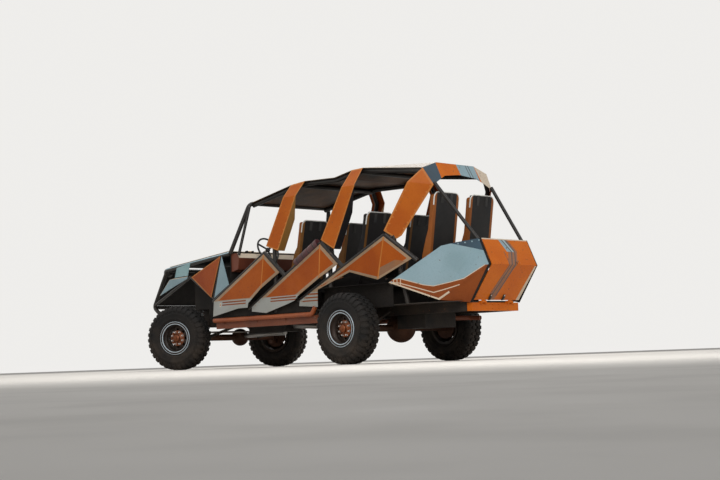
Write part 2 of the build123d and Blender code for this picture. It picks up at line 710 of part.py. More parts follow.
def rim():
    """Steel rim about +Y, its dish open to the outside."""
    half = rim_width / 2
    bead = half - 19
    lip, skin = rim_radius + 18, rim_radius - 12
    barrel = [(lip, half), (lip, bead), (rim_radius, bead), (rim_radius, -bead), (lip, -bead), (lip, -half)]
    barrel += [(skin, -half), (skin, half)]
    disc = [(skin + 1, 5), (150, 35), (70, 30), (70, 45), (150, 50), (skin + 1, 20)]
    body = revolve(make_face(Polyline(*barrel, close=True)), Axis.Y)
    body += revolve(make_face(Polyline(*disc, close=True)), Axis.Y)
    hub = [(bore_radius, -30), (70, -30), (70, 45), (50, 75), (0, 75), (0, 32), (bore_radius, 32)]
    body += revolve(make_face(Polyline(*hub, close=True)), Axis.Y)
    for turn in range(8):
        body -= Rot(0, turn * 45, 0) * Pos(120, 40, 0) * Rot(90, 0, 0) * Cylinder(20, 60)
    return body


wheel_places = {
    "rear_left": Pos(0, track / 2, axle_z),
    "rear_right": Pos(0, -track / 2, axle_z) * Rot(0, 0, 180),
    "front_left": Pos(front_axle_x, kingpin_y, axle_z) * Rot(0, 0, parked_steer) * Pos(0, kingpin_offset, 0),
    "front_right": Pos(front_axle_x, -kingpin_y, axle_z)
    * Rot(0, 0, parked_steer)
    * Pos(0, -kingpin_offset, 0)
    * Rot(0, 0, 180),
}
one_tyre, one_rim = tyre(), rim()
for name, place in wheel_places.items():
    raw[name + "_tyre"] = [place * one_tyre]
    raw[name + "_rim"] = [place * one_rim]


def spring(x, y, top):
    """A coil spring's outer form, one ridge for each turn."""
    turns = 6
    pitch = (top - spring_foot) / turns
    line = [(0, 0)]
    for turn in range(turns):
        z = turn * pitch
        line += [(56, z), (64, z + pitch * 0.3), (56, z + pitch * 0.6), (48, z + pitch * 0.8)]
    line += [(56, turns * pitch), (0, turns * pitch)]
    profile = make_face(Polyline(*[(r, 0, z) for r, z in line], close=True))
    return Pos(x, y, spring_foot) * revolve(profile, Axis.Z)


raw["coil_springs"] = [p for place in springs.values() for p in pair(spring(*place))]


def links(x, reach, lean_to):
    """One axle's trailing link and its damper, on the left."""
    link = rod((x - lean_to * 20, 510, axle_z - 15), (x + reach, rail_half + 45, floor_z - 90), slim_radius)
    foot = Vector(x + lean_to * 40, 650, axle_z + 20)
    head = Vector(x + lean_to * 250, rail_outer + 4, floor_z - 60)
    damper = rod(tuple(foot), tuple(head), 16) + rod(tuple(foot), tuple(foot + (head - foot) * 0.6), 26)
    return pair(link) + pair(damper)


raw["suspension_links"] = links(front_axle_x, -830, 1) + links(0, 780, -1)
raw["propeller_shafts"] = [
    rod((front_axle_x - 120, -190, axle_z + 15), (engine_back - 450, -120, floor_z - 240), 32),
    rod((180, 0, axle_z + 5), (engine_back - 770, 0, floor_z - 150), 38),
]
pad_y = body_half - 33
raw["belt_pads"] = pair(rod((950, pad_y, 1325), (540, pad_y, 1560), 60))

moving = ("hood", "rear_hatch", "steering_wheel", "tie_rod", "knuckle_left", "knuckle_right")
offcut = 0.02


def is_fixed(name):
    """True for a piece of the frame and body, which is cut to fit round those before it."""
    return name not in moving and not name.endswith(("_tyre", "_rim"))


def corners(piece):
    box = piece.bounding_box()
    return list(zip(box.min, box.max))


def boxes_meet(a, b):
    return all(min(p[1], q[1]) > max(p[0], q[0]) for p, q in zip(a, b))


os.makedirs("parts", exist_ok=True)
done = []
for name, pieces in raw.items():
    solids = []
    for piece in pieces:
        if is_fixed(name):
            box = corners(piece)
            near = [other for other, other_box in done if boxes_meet(box, other_box)]
            if near:
                piece = piece - near
        kept = [solid for solid in piece.solids() if solid.volume > offcut * piece.volume]
        solids += kept
        if is_fixed(name):
            done += [(solid, corners(solid)) for solid in kept]
    export_step(Pos(-origin_station, 0, 0) * Compound(children=solids), "parts/" + name + ".step")
print("built", len(raw), "nodes")
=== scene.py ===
from math import cos, exp, hypot, pi, radians, sin

import bmesh
import bpy
from mathutils import Matrix, Vector, noise


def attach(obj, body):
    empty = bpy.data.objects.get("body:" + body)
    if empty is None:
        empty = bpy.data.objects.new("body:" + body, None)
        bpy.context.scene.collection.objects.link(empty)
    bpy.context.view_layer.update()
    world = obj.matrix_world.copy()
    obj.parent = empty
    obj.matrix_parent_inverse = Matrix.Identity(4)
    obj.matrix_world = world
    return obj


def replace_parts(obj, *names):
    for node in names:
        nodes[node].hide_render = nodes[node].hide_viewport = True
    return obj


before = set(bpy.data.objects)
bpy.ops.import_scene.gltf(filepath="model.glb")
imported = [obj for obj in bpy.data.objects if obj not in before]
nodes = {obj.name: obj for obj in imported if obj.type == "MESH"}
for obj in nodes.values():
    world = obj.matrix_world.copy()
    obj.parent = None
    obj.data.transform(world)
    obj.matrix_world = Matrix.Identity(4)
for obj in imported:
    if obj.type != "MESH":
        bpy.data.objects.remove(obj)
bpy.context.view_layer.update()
scene = bpy.context.scene
print("frame loaded:", len(nodes), "nodes")

# Stations are millimetres forward of the rear axle; the frame's middle is this far ahead of it.
middleStation = 1281.5


def at(x, y, z):
    return Vector(((x - middleStation) / 1000, y / 1000, z / 1000))


def station(point):
    return point.x * 1000 + middleStation, point.y * 1000, point.z * 1000


def addNode(tree, kind, given=(), **settings):
    # A node with its settings, its inputs set to values or linked to other nodes' outputs.
    node = tree.nodes.new(kind)
    for key, value in settings.items():
        setattr(node, key, value)
    for socket, source in given:
        if isinstance(source, bpy.types.NodeSocket):
            tree.links.new(source, node.inputs[socket])
        else:
            node.inputs[socket].default_value = source
    return node


# The photograph's view: a long lens behind the left rear corner, down at floor level.
viewpoint = {
    "place": (-13.804, 13.937, 0.05), "yaw": -46.561, "pitch": 4.734, "roll": -2.053, "lens": 72.44,
    "sensor": 36, "reach": 300,
}


def makeCamera():
    yaw, pitch, roll = (radians(viewpoint[k]) for k in ("yaw", "pitch", "roll"))
    ahead = Vector((cos(pitch) * cos(yaw), cos(pitch) * sin(yaw), sin(pitch)))
    sideways = Vector((sin(yaw), -cos(yaw), 0))
    upward = sideways.cross(ahead)
    side = sideways * cos(roll) + upward * sin(roll)
    top = upward * cos(roll) - sideways * sin(roll)
    data = bpy.data.cameras.new("camera")
    data.lens = viewpoint["lens"]
    data.sensor_width = viewpoint["sensor"]
    data.clip_end = viewpoint["reach"]
    camera = bpy.data.objects.new("camera", data)
    turn = Matrix((side, top, -ahead)).transposed().to_4x4()
    camera.matrix_world = Matrix.Translation(viewpoint["place"]) @ turn
    scene.collection.objects.link(camera)
    scene.camera = camera


makeCamera()

# Soft studio: pale world, a broad high key lamp on the far side as the sun stood, fills behind the camera.
studio = {
    "world": 0.33,
    "skyLight": (0.92, 0.95, 1.0, 1),
    "backdrop": (0.86, 0.85, 0.83, 1),
    "floor": (0.70, 0.66, 0.60),
    "floorHalf": 90,
    "lamps": {
        "keyLamp": ((5, -9, 11), 7, 1150),
        "fillLamp": ((-9, 8, 7), 7, 620),
        "topLamp": ((0, 1, 12), 8, 380),
    },
}


def makeStudio():
    world = bpy.data.worlds.new("studio")
    scene.world = world
    world.use_nodes = True
    tree = world.node_tree
    tree.nodes.clear()
    sky, level = studio["skyLight"], studio["world"]
    lit = addNode(tree, "ShaderNodeBackground", [("Color", sky), ("Strength", level)])
    seen = addNode(tree, "ShaderNodeBackground", [("Color", studio["backdrop"]), ("Strength", 1)])
    rays = addNode(tree, "ShaderNodeLightPath").outputs
    anyRay = rays["Is Camera Ray"]
    for ray in ("Is Glossy Ray", "Is Transmission Ray"):
        most = addNode(tree, "ShaderNodeMath", [(0, anyRay), (1, rays[ray])], operation="MAXIMUM")
        anyRay = most.outputs[0]
    mix = addNode(tree, "ShaderNodeMixShader", [(0, anyRay), (1, lit.outputs[0]), (2, seen.outputs[0])])
    addNode(tree, "ShaderNodeOutputWorld", [("Surface", mix.outputs[0])])
    for name, (place, size, power) in studio["lamps"].items():
        data = bpy.data.lights.new(name, "AREA")
        data.shape = "DISK"
        data.size = size
        data.energy = power
        lamp = bpy.data.objects.new(name, data)
        aim = (Vector((0, 0, 1)) - Vector(place)).to_track_quat("-Z", "Y").to_matrix().to_4x4()
        lamp.matrix_world = Matrix.Translation(place) @ aim
        scene.collection.objects.link(lamp)


makeStudio()

# What lies on a paint unless its row below says otherwise: patches, metal, dust, chips, grain and shine.
plainFinish = {
    "patch": 2.5, "metal": 0.0, "coat": 0.0, "shine": 0.5, "grit": 70.0, "bump": 0.15, "stretch": (1, 1, 1),
    "dust": 0.0, "dustTop": 1.3, "dustColour": (0.30, 0.21, 0.14),
    "chips": 0.0, "chipColour": (0.10, 0.05, 0.03),
}
leather = {"dustTop": 2.2, "grit": 260.0, "bump": 0.45}


def paint(base, second, rough, **more):
    return {**plainFinish, "base": base, "second": second, "rough": rough, **more}


finishes = {
    "orangePaint": paint((0.34, 0.064, 0.003), (0.41, 0.087, 0.005), 0.48, dust=0.12, chips=0.35,
                         shine=0.2),
    "hoopOrange": paint((0.43, 0.088, 0.003), (0.5, 0.118, 0.005), 0.46, dust=0.08, dustTop=1.9, chips=0.25,
                        shine=0.22),
    # Painted sunlight: the tail door, visor and rear bumper get a much lighter copy of the body orange.
    "hatchOrange": paint((0.62, 0.13, 0.002), (0.7, 0.165, 0.004), 0.44, dust=0.08, chips=0.4, shine=0.2),
    "noseOrange": paint((0.33, 0.054, 0.003), (0.39, 0.072, 0.006), 0.48, dust=0.1, chips=0.3, shine=0.2),
    # Light orange for the hoop plates' edges, and as a painted highlight along the side panels' crease.
    "orangeEdge": paint((0.56, 0.2, 0.035), (0.48, 0.15, 0.02), 0.42, shine=0.3, chips=0.5),
    "dustyOrange": paint((0.24, 0.115, 0.055), (0.3, 0.12, 0.035), 0.6, patch=4.0, dust=0.4, chips=0.3),
    "creamTrim": paint((0.3, 0.19, 0.105), (0.38, 0.25, 0.15), 0.48, dust=0.3, chips=0.6,
                       chipColour=(0.32, 0.1, 0.02)),
    "creamBright": paint((0.74, 0.62, 0.46), (0.66, 0.52, 0.38), 0.4, dust=0.2, chips=0.3),
    "palePaint": paint((0.39, 0.4, 0.375), (0.34, 0.345, 0.31), 0.4, dust=0.45, chips=0.4, dustTop=1.0),
    "blueGrey": paint((0.235, 0.355, 0.395), (0.29, 0.42, 0.47), 0.46, dust=0.22, chips=0.35),
    "iceBlue": paint((0.26, 0.45, 0.465), (0.33, 0.52, 0.54), 0.46, dust=0.2, chips=0.3),
    "navyPaint": paint((0.02, 0.062, 0.098), (0.014, 0.04, 0.065), 0.35, dust=0.1, dustTop=2.0, coat=0.2),
    # Near black for the middle hoop's flange: painted shade on a flange like the front one's.
    "flangeDark": paint((0.01, 0.012, 0.017), (0.016, 0.014, 0.014), 0.5, dust=0.1, shine=0.25),
    "tanPaint": paint((0.3, 0.145, 0.03), (0.36, 0.19, 0.055), 0.5, dust=0.2),
    "stripeHaze": paint((0.34, 0.12, 0.035), (0.26, 0.1, 0.045), 0.4, dust=0.2, chips=0.4),
    # Brown for the side panels' thin stripes; on the quarter panel the same brown is its orange darkened as
    # painted shade.
    "brownPaint": paint((0.21, 0.042, 0.005), (0.28, 0.064, 0.009), 0.48, dust=0.12, chips=0.5, shine=0.22),
    "stripeDark": paint((0.045, 0.05, 0.055), (0.07, 0.065, 0.06), 0.4, dust=0.2),
    "stripeWhite": paint((0.66, 0.66, 0.62), (0.58, 0.57, 0.52), 0.4, dust=0.2),
    "blackTube": paint((0.012, 0.011, 0.01), (0.02, 0.017, 0.015), 0.4, dust=0.12, dustTop=2.0, chips=0.3,
                       chipColour=(0.13, 0.08, 0.055), shine=0.35),
    "blackSheet": paint((0.009, 0.008, 0.008), (0.016, 0.014, 0.012), 0.7, dust=0.14, chips=0.25,
                        shine=0.2),
    "roofUnder": paint((0.016, 0.014, 0.012), (0.13, 0.055, 0.018), 0.6, patch=1.3, shine=0.25),
    "roofTop": paint((0.36, 0.31, 0.25), (0.44, 0.37, 0.28), 0.6, patch=1.2, dust=0.5, dustTop=6.0),
    "chassisPaint": paint((0.014, 0.012, 0.011), (0.03, 0.02, 0.014), 0.65, dust=0.25, chips=0.5,
                          chipColour=(0.12, 0.045, 0.02), dustTop=1.0, shine=0.25),
    "rustRail": paint((0.15, 0.032, 0.009), (0.21, 0.05, 0.014), 0.55, dust=0.3, chips=0.5, dustTop=0.9),
    "sillOrange": paint((0.31, 0.064, 0.012), (0.38, 0.09, 0.02), 0.4, dust=0.2, chips=0.4, dustTop=0.9),
    "axleIron": paint((0.045, 0.018, 0.011), (0.1, 0.032, 0.014), 0.6, metal=0.3, dust=0.3, dustTop=0.9,
                      bump=0.4, shine=0.3),
    "bareSteel": paint((0.5, 0.49, 0.47), (0.4, 0.36, 0.32), 0.35, metal=0.9, dust=0.3, dustTop=0.9,
                       stretch=(1, 14, 1)),
    "brightSteel": paint((0.74, 0.73, 0.71), (0.66, 0.62, 0.58), 0.22, metal=1.0, dust=0.1),
    "copperHub": paint((0.24, 0.062, 0.015), (0.14, 0.036, 0.01), 0.36, metal=0.6, dust=0.2, dustTop=0.9),
    "engineMetal": paint((0.022, 0.021, 0.02), (0.04, 0.036, 0.033), 0.6, metal=0.3, dust=0.2, bump=0.5,
                         shine=0.2),
    "tankMetal": paint((0.01, 0.01, 0.01), (0.02, 0.017, 0.015), 0.6, dust=0.2, dustTop=0.9, shine=0.2),
    "floorPlate": paint((0.05, 0.046, 0.043), (0.09, 0.075, 0.06), 0.55, metal=0.4, dust=0.35, shine=0.25),
    "dashBrown": paint((0.12, 0.028, 0.012), (0.16, 0.04, 0.016), 0.5, dust=0.15, grit=240.0, bump=0.35),
    "blackVinyl": paint((0.009, 0.009, 0.01), (0.015, 0.014, 0.014), 0.5, dust=0.12, shine=0.3, **leather),
    "orangeVinyl": paint((0.3, 0.085, 0.012), (0.36, 0.11, 0.018), 0.5, dust=0.15, shine=0.35, **leather),
    # The seat orange darkened: painted shade for the front seats and part of the middle ones.
    "ochreVinyl": paint((0.2, 0.085, 0.018), (0.26, 0.11, 0.026), 0.55, dust=0.15, shine=0.3, **leather),
    "whitePiping": paint((0.78, 0.77, 0.73), (0.7, 0.68, 0.62), 0.5, grit=300.0),
    "maroonPad": paint((0.06, 0.012, 0.016), (0.11, 0.032, 0.035), 0.36, dust=0.15, dustTop=2.2, grit=220.0,
                       bump=0.45, coat=0.2),
    "webbing": paint((0.03, 0.03, 0.03), (0.05, 0.045, 0.04), 0.8, grit=400.0, bump=0.6),
    "gripRubber": paint((0.02, 0.02, 0.02), (0.03, 0.028, 0.026), 0.6, grit=200.0, bump=0.4),
    "tyreRubber": paint((0.009, 0.009, 0.009), (0.016, 0.014, 0.013), 0.75, dust=0.2, dustTop=0.75,
                        bump=0.35, grit=120.0, shine=0.25),
    "lipBlue": paint((0.52, 0.6, 0.65), (0.46, 0.52, 0.56), 0.34, metal=0.15, dust=0.15, dustTop=0.9),
    "rimDark": paint((0.012, 0.011, 0.011), (0.035, 0.018, 0.011), 0.45, metal=0.2, dust=0.2, dustTop=0.9,
                     shine=0.3),
    "springBlue": paint((0.36, 0.4, 0.42), (0.28, 0.28, 0.27), 0.4, metal=0.3, dust=0.5, dustTop=1.1),
    "lampBlack": paint((0.016, 0.016, 0.017), (0.025, 0.024, 0.023), 0.3, dust=0.2, dustTop=2.0),
    "lampMirror": paint((0.85, 0.85, 0.84), (0.78, 0.78, 0.77), 0.12, metal=1.0),
    "lensGlass": paint((0.62, 0.64, 0.64), (0.52, 0.54, 0.54), 0.08, coat=0.6, bump=0.3, grit=160.0),
    "dialFace": paint((0.02, 0.02, 0.02), (0.03, 0.03, 0.03), 0.3),
    "studioFloor": paint(studio["floor"], (0.715, 0.675, 0.615), 0.9, patch=0.5, grit=3.0, bump=0.05),
}

# How every finish wears: the scales of its noises, and where each layer begins and ends.
wear = {
    "patchEdges": (0.38, 0.62), "gritEdges": (0.5, 0.75), "gritShare": 0.3, "gritDark": 0.72,
    "fleckScale": 34, "fleckEdges": (0.70, 0.72), "fleckMore": 0.08, "fleckShare": 0.85,
    "fleckPatch": 4, "fleckPatchEdges": (0.45, 0.6), "dustFoot": 0.25, "dustLeft": 0.12,
    "filmScale": 7, "filmEdges": (0.32, 0.72), "film": (0.05, 0.6), "roughEdges": (0.3, 0.7),
    "roughSpan": (-0.08, 0.14), "bumpDeep": 0.002, "coatRough": 0.25,
}


def makeFinish(name, look):
    made = bpy.data.materials.new(name)
    made.use_nodes = True
    tree = made.node_tree
    shader = tree.nodes["Principled BSDF"]
    for socket, value in (
        ("Metallic", look["metal"]), ("Coat Weight", look["coat"]), ("Coat Roughness", wear["coatRough"]),
        ("Specular IOR Level", look["shine"]),
    ):
        shader.inputs[socket].default_value = value
    place = addNode(tree, "ShaderNodeTexCoord").outputs["Object"]
    drawn = addNode(tree, "ShaderNodeMapping", [("Vector", place), ("Scale", look["stretch"])]).outputs[0]

    def clouds(scale, detail, vector=place):
        given = [("Vector", vector), ("Scale", scale), ("Detail", detail)]
        return addNode(tree, "ShaderNodeTexNoise", given).outputs[0]

    def spread(source, edges, to0, to1):
        ends = [("From Min", edges[0]), ("From Max", edges[1]), ("To Min", to0), ("To Max", to1)]
        return addNode(tree, "ShaderNodeMapRange", [("Value", source), *ends]).outputs[0]

    def over(share, *layers):
        below, above = ((*c, 1) if isinstance(c, tuple) else c for c in layers)
        given = [("Factor", share), ("A", below), ("B", above)]
        return addNode(tree, "ShaderNodeMix", given, data_type="RGBA").outputs["Result"]

    def times(a, b):
        return addNode(tree, "ShaderNodeMath", [(0, a), (1, b)], operation="MULTIPLY").outputs[0]

    patches = clouds(look["patch"], 6)
    colour = over(spread(patches, wear["patchEdges"], 0, 1), look["base"], look["second"])
    grit = clouds(look["grit"], 4, drawn)
    darker = tuple(c * wear["gritDark"] for c in look["base"])
    colour = over(spread(grit, wear["gritEdges"], 0, wear["gritShare"]), colour, darker)
    if look["chips"]:
        edges = [edge - wear["fleckMore"] * look["chips"] for edge in wear["fleckEdges"]]
        flecks = spread(clouds(wear["fleckScale"], 3), edges, 0, wear["fleckShare"])
        crowded = spread(clouds(wear["fleckPatch"], 2), wear["fleckPatchEdges"], 0, 1)
        colour = over(times(flecks, crowded), colour, look["chipColour"])
    if look["dust"]:
        height = addNode(tree, "ShaderNodeSeparateXYZ", [(0, place)]).outputs["Z"]
        low = spread(height, (wear["dustFoot"], look["dustTop"]), 1, wear["dustLeft"])
        thin, thick = (share * look["dust"] for share in wear["film"])
        film = times(low, spread(clouds(wear["filmScale"], 5), wear["filmEdges"], thin, thick))
        colour = over(film, colour, look["dustColour"])
    tree.links.new(colour, shader.inputs["Base Color"])
    smooth, rough = (look["rough"] + more for more in wear["roughSpan"])
    dull = spread(grit, wear["roughEdges"], max(0.05, smooth), min(1, rough))
    tree.links.new(dull, shader.inputs["Roughness"])
    relief = addNode(tree, "ShaderNodeBump", [
        ("Strength", look["bump"]), ("Distance", wear["bumpDeep"]), ("Height", grit),
    ])
    tree.links.new(relief.outputs[0], shader.inputs["Normal"])
    return made


looks = {name: makeFinish(name, look) for name, look in finishes.items()}
print("finishes made:", len(looks))


def makeFloor():
    half = studio["floorHalf"]
    sheet = bpy.data.meshes.new("floor")
    corners = [(-half, -half, 0), (half, -half, 0), (half, half, 0), (-half, half, 0)]
    sheet.from_pydata(corners, [], [(0, 1, 2, 3)])
    floor = bpy.data.objects.new("floor", sheet)
    sheet.materials.append(looks["studioFloor"])
    scene.collection.objects.link(floor)


makeFloor()

# Finish of each piece of the frame whose own mesh stays.
nodeLooks = {
    "blackTube": "roof_hoops roof_rails side_lattice windscreen_frame tail_frame nose_cross_tubes "
                 "fender_tubes",
    "bareSteel": "steering_column propeller_shafts tie_rod",
    "chassisPaint": "chassis_rails crossmembers suspension_links",
    "axleIron": "rear_axle front_axle knuckle_left knuckle_right",
    "rustRail": "side_rails exhaust",
    "engineMetal": "engine_block gearbox",
    "hatchOrange": "rear_bumper",
    "floorPlate": "floor_pan",
    "sillOrange": "sill_tubes",
    "blackSheet": "inner_panels",
    "tankMetal": "fuel_tank",
    "gripRubber": "steering_wheel",
}
for look, names in nodeLooks.items():
    for name in names.split():
        nodes[name].data.materials.clear()
        nodes[name].data.materials.append(looks[look])

# Painted sheets: a copy of each sheet is cut along its borders and stripes, one finish to each part.


def makePiece(name, mesh, body="frame"):
    piece = bpy.data.objects.new(name, mesh)
    scene.collection.objects.link(piece)
    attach(piece, body)
    return piece


def mergedNode(name):
    solid = bmesh.new()
    solid.from_mesh(nodes[name].data)
    bmesh.ops.remove_doubles(solid, verts=solid.verts, dist=1e-5)
    bmesh.ops.dissolve_limit(solid, angle_limit=radians(0.6), verts=solid.verts, edges=solid.edges)
    return solid


def numberSheets(solid):
    # Each face is given the number of the loose sheet that it belongs to.
    layer = solid.faces.layers.int.new("sheet")
    waiting = set(solid.faces)
    count = 0
    while waiting:
        reached = [waiting.pop()]
        while reached:
            face = reached.pop()
            face[layer] = count
            for edge in face.edges:
                for other in edge.link_faces:
                    if other in waiting:
                        waiting.discard(other)
                        reached.append(other)
        count += 1
    return layer, count


def cutSheet(solid, layer, number, point, normal):
    faces = [f for f in solid.faces if f[layer] == number]
    edges = {e for f in faces for e in f.edges}
    corners = {v for f in faces for v in f.verts}
    bmesh.ops.bisect_plane(solid, geom=[*faces, *edges, *corners], plane_co=point, plane_no=normal, dist=1e-6)


def finishSheets(node, solid, pick, body):
    used = []
    for face in solid.faces:
        look = pick(face)
        if look not in used:
            used.append(look)
        face.material_index = used.index(look)
    mesh = bpy.data.meshes.new(node)
    solid.to_mesh(mesh)
    solid.free()
    for look in used:
        mesh.materials.append(looks[look])
    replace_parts(makePiece("painted_" + node, mesh, body), node)


def inset(outline, gap):
    # An outline drawn in by a gap.
    ring = [Vector(p) for p in outline]
    turn = sum(a.x * b.y - b.x * a.y for a, b in zip(ring, ring[1:] + ring[:1]))
    sign = 1 if turn > 0 else -1
    moved = []
    for i, b in enumerate(ring):
        first = (b - ring[i - 1]).normalized()
        second = (ring[(i + 1) % len(ring)] - b).normalized()
        n1 = Vector((-first.y, first.x)) * sign
        n2 = Vector((-second.y, second.x)) * sign
        moved.append(tuple(b + (n1 + n2) * (gap / (1 + n1.dot(n2)))))
    return moved


def within(outline, u, v):
    odd = False
    for (a, b), (c, d) in zip(outline, outline[1:] + outline[:1]):
        if (b > v) != (d > v) and u < a + (v - b) * (c - a) / (d - b):
            odd = not odd
    return odd


def ribbon(look, width, *points):
    # A painted line along straight runs, one four-sided zone for each run.
    zones = []
    for a, b in zip(points, points[1:]):
        along = (Vector(b) - Vector(a)).normalized() * (width / 2)
        side = Vector((-along.y, along.x))
        a2, b2 = Vector(a) - along * 0.5, Vector(b) + along * 0.5
        zones.append((look, [tuple(a2 + side), tuple(b2 + side), tuple(b2 - side), tuple(a2 - side)]))
    return zones


def band(look, low, high, start, end):
    return (look, [(start, low), (end, low), (end, high), (start, high)])


# How a sheet's outline is read: two flat coordinates, the way back, the cutting direction, the outer side.
sideways = (
    lambda p: (station(p)[0], station(p)[2]), lambda u, v: at(u, 0, v), Vector((0, 1, 0)),
    lambda face: face.normal.y * (1 if face.calc_center_median().y > 0 else -1),
)
backwards = (
    lambda p: (station(p)[1], station(p)[2]), lambda u, v: at(0, u, v), Vector((1, 0, 0)),
    lambda face: -face.normal.x,
)
upwards = (
    lambda p: (station(p)[0], station(p)[1]), lambda u, v: at(u, v, 0), Vector((0, 0, 1)),
    lambda face: face.normal.z,
)


def isFlange(face):
    return abs(face.normal.y) < 0.3 and abs(face.normal.x) > 0.5 and face.calc_area() > 2e-4


def paintNode(node, panels, facing, back, body="frame", shaped=None):
    flat, lift, through, outer = facing
    solid = mergedNode(node)
    if shaped:
        shaped(solid)
    layer, count = numberSheets(solid)
    panelOf = []
    for number in range(count):
        spots = [flat(v.co) for f in solid.faces if f[layer] == number for v in f.verts]
        us, vs = zip(*spots)
        middle = ((min(us) + max(us)) / 2, (min(vs) + max(vs)) / 2)

        def away(panel):
            u, v = zip(*panel["outline"])
            return hypot((min(u) + max(u)) / 2 - middle[0], (min(v) + max(v)) / 2 - middle[1])

        panelOf.append(min(panels, key=away))
    for number, panel in enumerate(panelOf):
        for look, outline in panel["zones"]:
            for a, b in zip(outline, outline[1:] + outline[:1]):
                run = lift(*b) - lift(*a)
                if run.length > 1e-6:
                    cutSheet(solid, layer, number, lift(*a), run.cross(through).normalized())

    def pick(face):
        panel = panelOf[face[layer]]
        if "flange" in panel and isFlange(face):
            return panel["flange"]
        if outer(face) < -0.5:
            return back
        u, v = flat(face.calc_center_median())
        found = panel["base"]
        for look, outline in panel["zones"]:
            if within(outline, u, v):
                found = look
        return found

    finishSheets(node, solid, pick, body)


# Side panels: orange field in a cream border, pale foot with two thin stripes, a light line on the crease
# that is a painted highlight.
sidePanels = {"border": 40, "crease": 17, "sill": 500, "footTop": 915, "stripes": [(883, 902), (849, 866)]}


def sidePanelZones(field, crease, footSpan, stripeSpan):
    zones = [("orangePaint", inset(field, sidePanels["border"]))]
    # A lighter orange ribbon along the crease: a painted highlight.
    zones += ribbon("orangeEdge", sidePanels["crease"], *crease)
    zones.append(band("palePaint", sidePanels["sill"], sidePanels["footTop"], *footSpan))
    for low, high in sidePanels["stripes"]:
        zones.append(band("brownPaint", low, high, *stripeSpan))
    return zones


panelA = {
    "outline": [(1541, 1488), (2564, 915), (2555, 710), (2007, 796), (1808, 797), (1546, 1037), (1246, 1230)],
    "base": "creamTrim",
    "zones": sidePanelZones(
        [(1541, 1488), (2617, 885), (1759, 885), (1546, 1037), (1246, 1230)],
        [(1541, 1470), (1546, 1040)], (1400, 2700), (1850, 2370),
    ) + [band("creamBright", 838, 884, 2392, 2424), band("noseOrange", 850, 872, 2400, 2414)],
}
panelB = {
    "outline": [
        (478, 1537), (1791, 805), (1792, 744), (1481, 710), (1026, 812), (854, 900), (459, 1103), (175, 1263),
    ],
    "base": "creamTrim",
    "zones": sidePanelZones(
        [(478, 1537), (1665, 875), (903, 875), (459, 1103), (175, 1263)],
        [(478, 1520), (459, 1106)], (700, 1900), (890, 1410),
    ),
}
panelC = {
    "outline": [
        (-620, 1545), (880, 835), (890, 770), (556, 742), (549, 960), (-28, 1147), (-500, 1022), (-942, 1252),
    ],
    "base": "creamTrim",
    "zones": [
        ("orangePaint", inset(
            [(-620, 1545), (640, 949), (520, 962), (-28, 1140), (-500, 1022), (-942, 1252)], 34,
        )),
        ("dustyOrange", [(-520, 1060), (-535, 1165), (-735, 1250), (-850, 1228), (-905, 1252)]),
        # Painted highlight along the crease.
        *ribbon("orangeEdge", sidePanels["crease"], (-618, 1528), (-503, 1040)),
        band("palePaint", 600, 935, 530, 1000),
        band("brownPaint", 900, 921, 540, 730),
        band("brownPaint", 858, 876, 540, 790),
        band("brownPaint", 818, 834, 540, 830),
    ],
}
paintNode("side_panels", [panelA, panelB, panelC], sideways, "blackSheet")

# Hoop plates: orange within a light edge. The flanges' free edges are given from top to foot; their top ends
# slope down along a share of them.
hoops = {
    "border": 15, "slope": 0.42, "cornerReach": 12,
    "flangeEdges": (((990, 740, 2214), (1249, 841, 1513)), ((-75, 740, 2235), (214, 849, 1453))),
}
hoopOutlines = {
    "front": [(1486, 1590), (1228, 2215), (1190, 2384), (950, 2412), (992, 2215), (1251, 1514)],
    "middle": [(462, 1590), (150, 2236), (129, 2462), (-60, 2471), (-73, 2236), (216, 1454)],
    "rear": [(-625, 1612), (-905, 2190), (-1010, 2370), (-1130, 2150), (-777, 1547), (-729, 1509)],
}
hoopPanels = [
    {"outline": outline, "base": "orangeEdge", "zones": [("hoopOrange", inset(outline, hoops["border"]))]}
    for outline in hoopOutlines.values()
]
hoopPanels[0]["flange"] = "tanPaint"
# Painted shade: the middle hoop's flange is near black, the front one tan.
hoopPanels[1]["flange"] = "flangeDark"


def slopeFlanges(solid):
    for corner in solid.verts:
        x, y, z = station(corner.co)
        for top, foot in hoops["flangeEdges"]:
            if hypot(x - top[0], abs(y) - top[1], z - top[2]) < hoops["cornerReach"]:
                drop = (Vector(foot) - Vector(top)) * (hoops["slope"] / 1000)
                corner.co += Vector((drop.x, drop.y if y > 0 else -drop.y, drop.z))


paintNode("hoop_cladding", hoopPanels, sideways, "noseOrange", shaped=slopeFlanges)

# Quarter panel: pale field, navy corner, orange bands between cream lines that turn up at their foot; below
# the top line this orange is given a darker brown, a painted shade. Each line is its width and its points.
quarterEdge = [(-640, 1000), (-790, 1018), (-1064, 926), (-1181, 905), (-1544, 976), (-1803, 1124)]
quarterLines = [
    (9, quarterEdge),
    (11, [(-690, 975), (-790, 962), (-1179, 828), (-1491, 904)]),
    (24, [(-662, 982), (-1233, 744), (-1360, 823)]),
    (9, [(-722, 900), (-722, 1004)]),
    (9, [(-762, 900), (-762, 1010)]),
    (9, [(-802, 890), (-802, 1010)]),
]
quarterPanel = {
    "outline": [(-662, 975), (-1283, 1384), (-1735, 1450), (-1875, 1130), (-1575, 690), (-1233, 737)],
    "base": "blueGrey",
    "zones": [
        ("navyPaint", [(-1340, 1420), (-1700, 1600), (-1950, 1500), (-1850, 1277)]),
        # Painted shade: the orange below the top line in darker brown.
        ("brownPaint", [*quarterEdge, (-1950, 1124), (-1950, 500), (-600, 500)]),
        *(zone for width, line in quarterLines for zone in ribbon("creamBright", width, *line)),
        *ribbon("blackSheet", 44, (-1735, 1450), (-1875, 1130), (-1575, 690)),
    ],
}
paintNode("quarter_panels", [quarterPanel], sideways, "blackSheet")

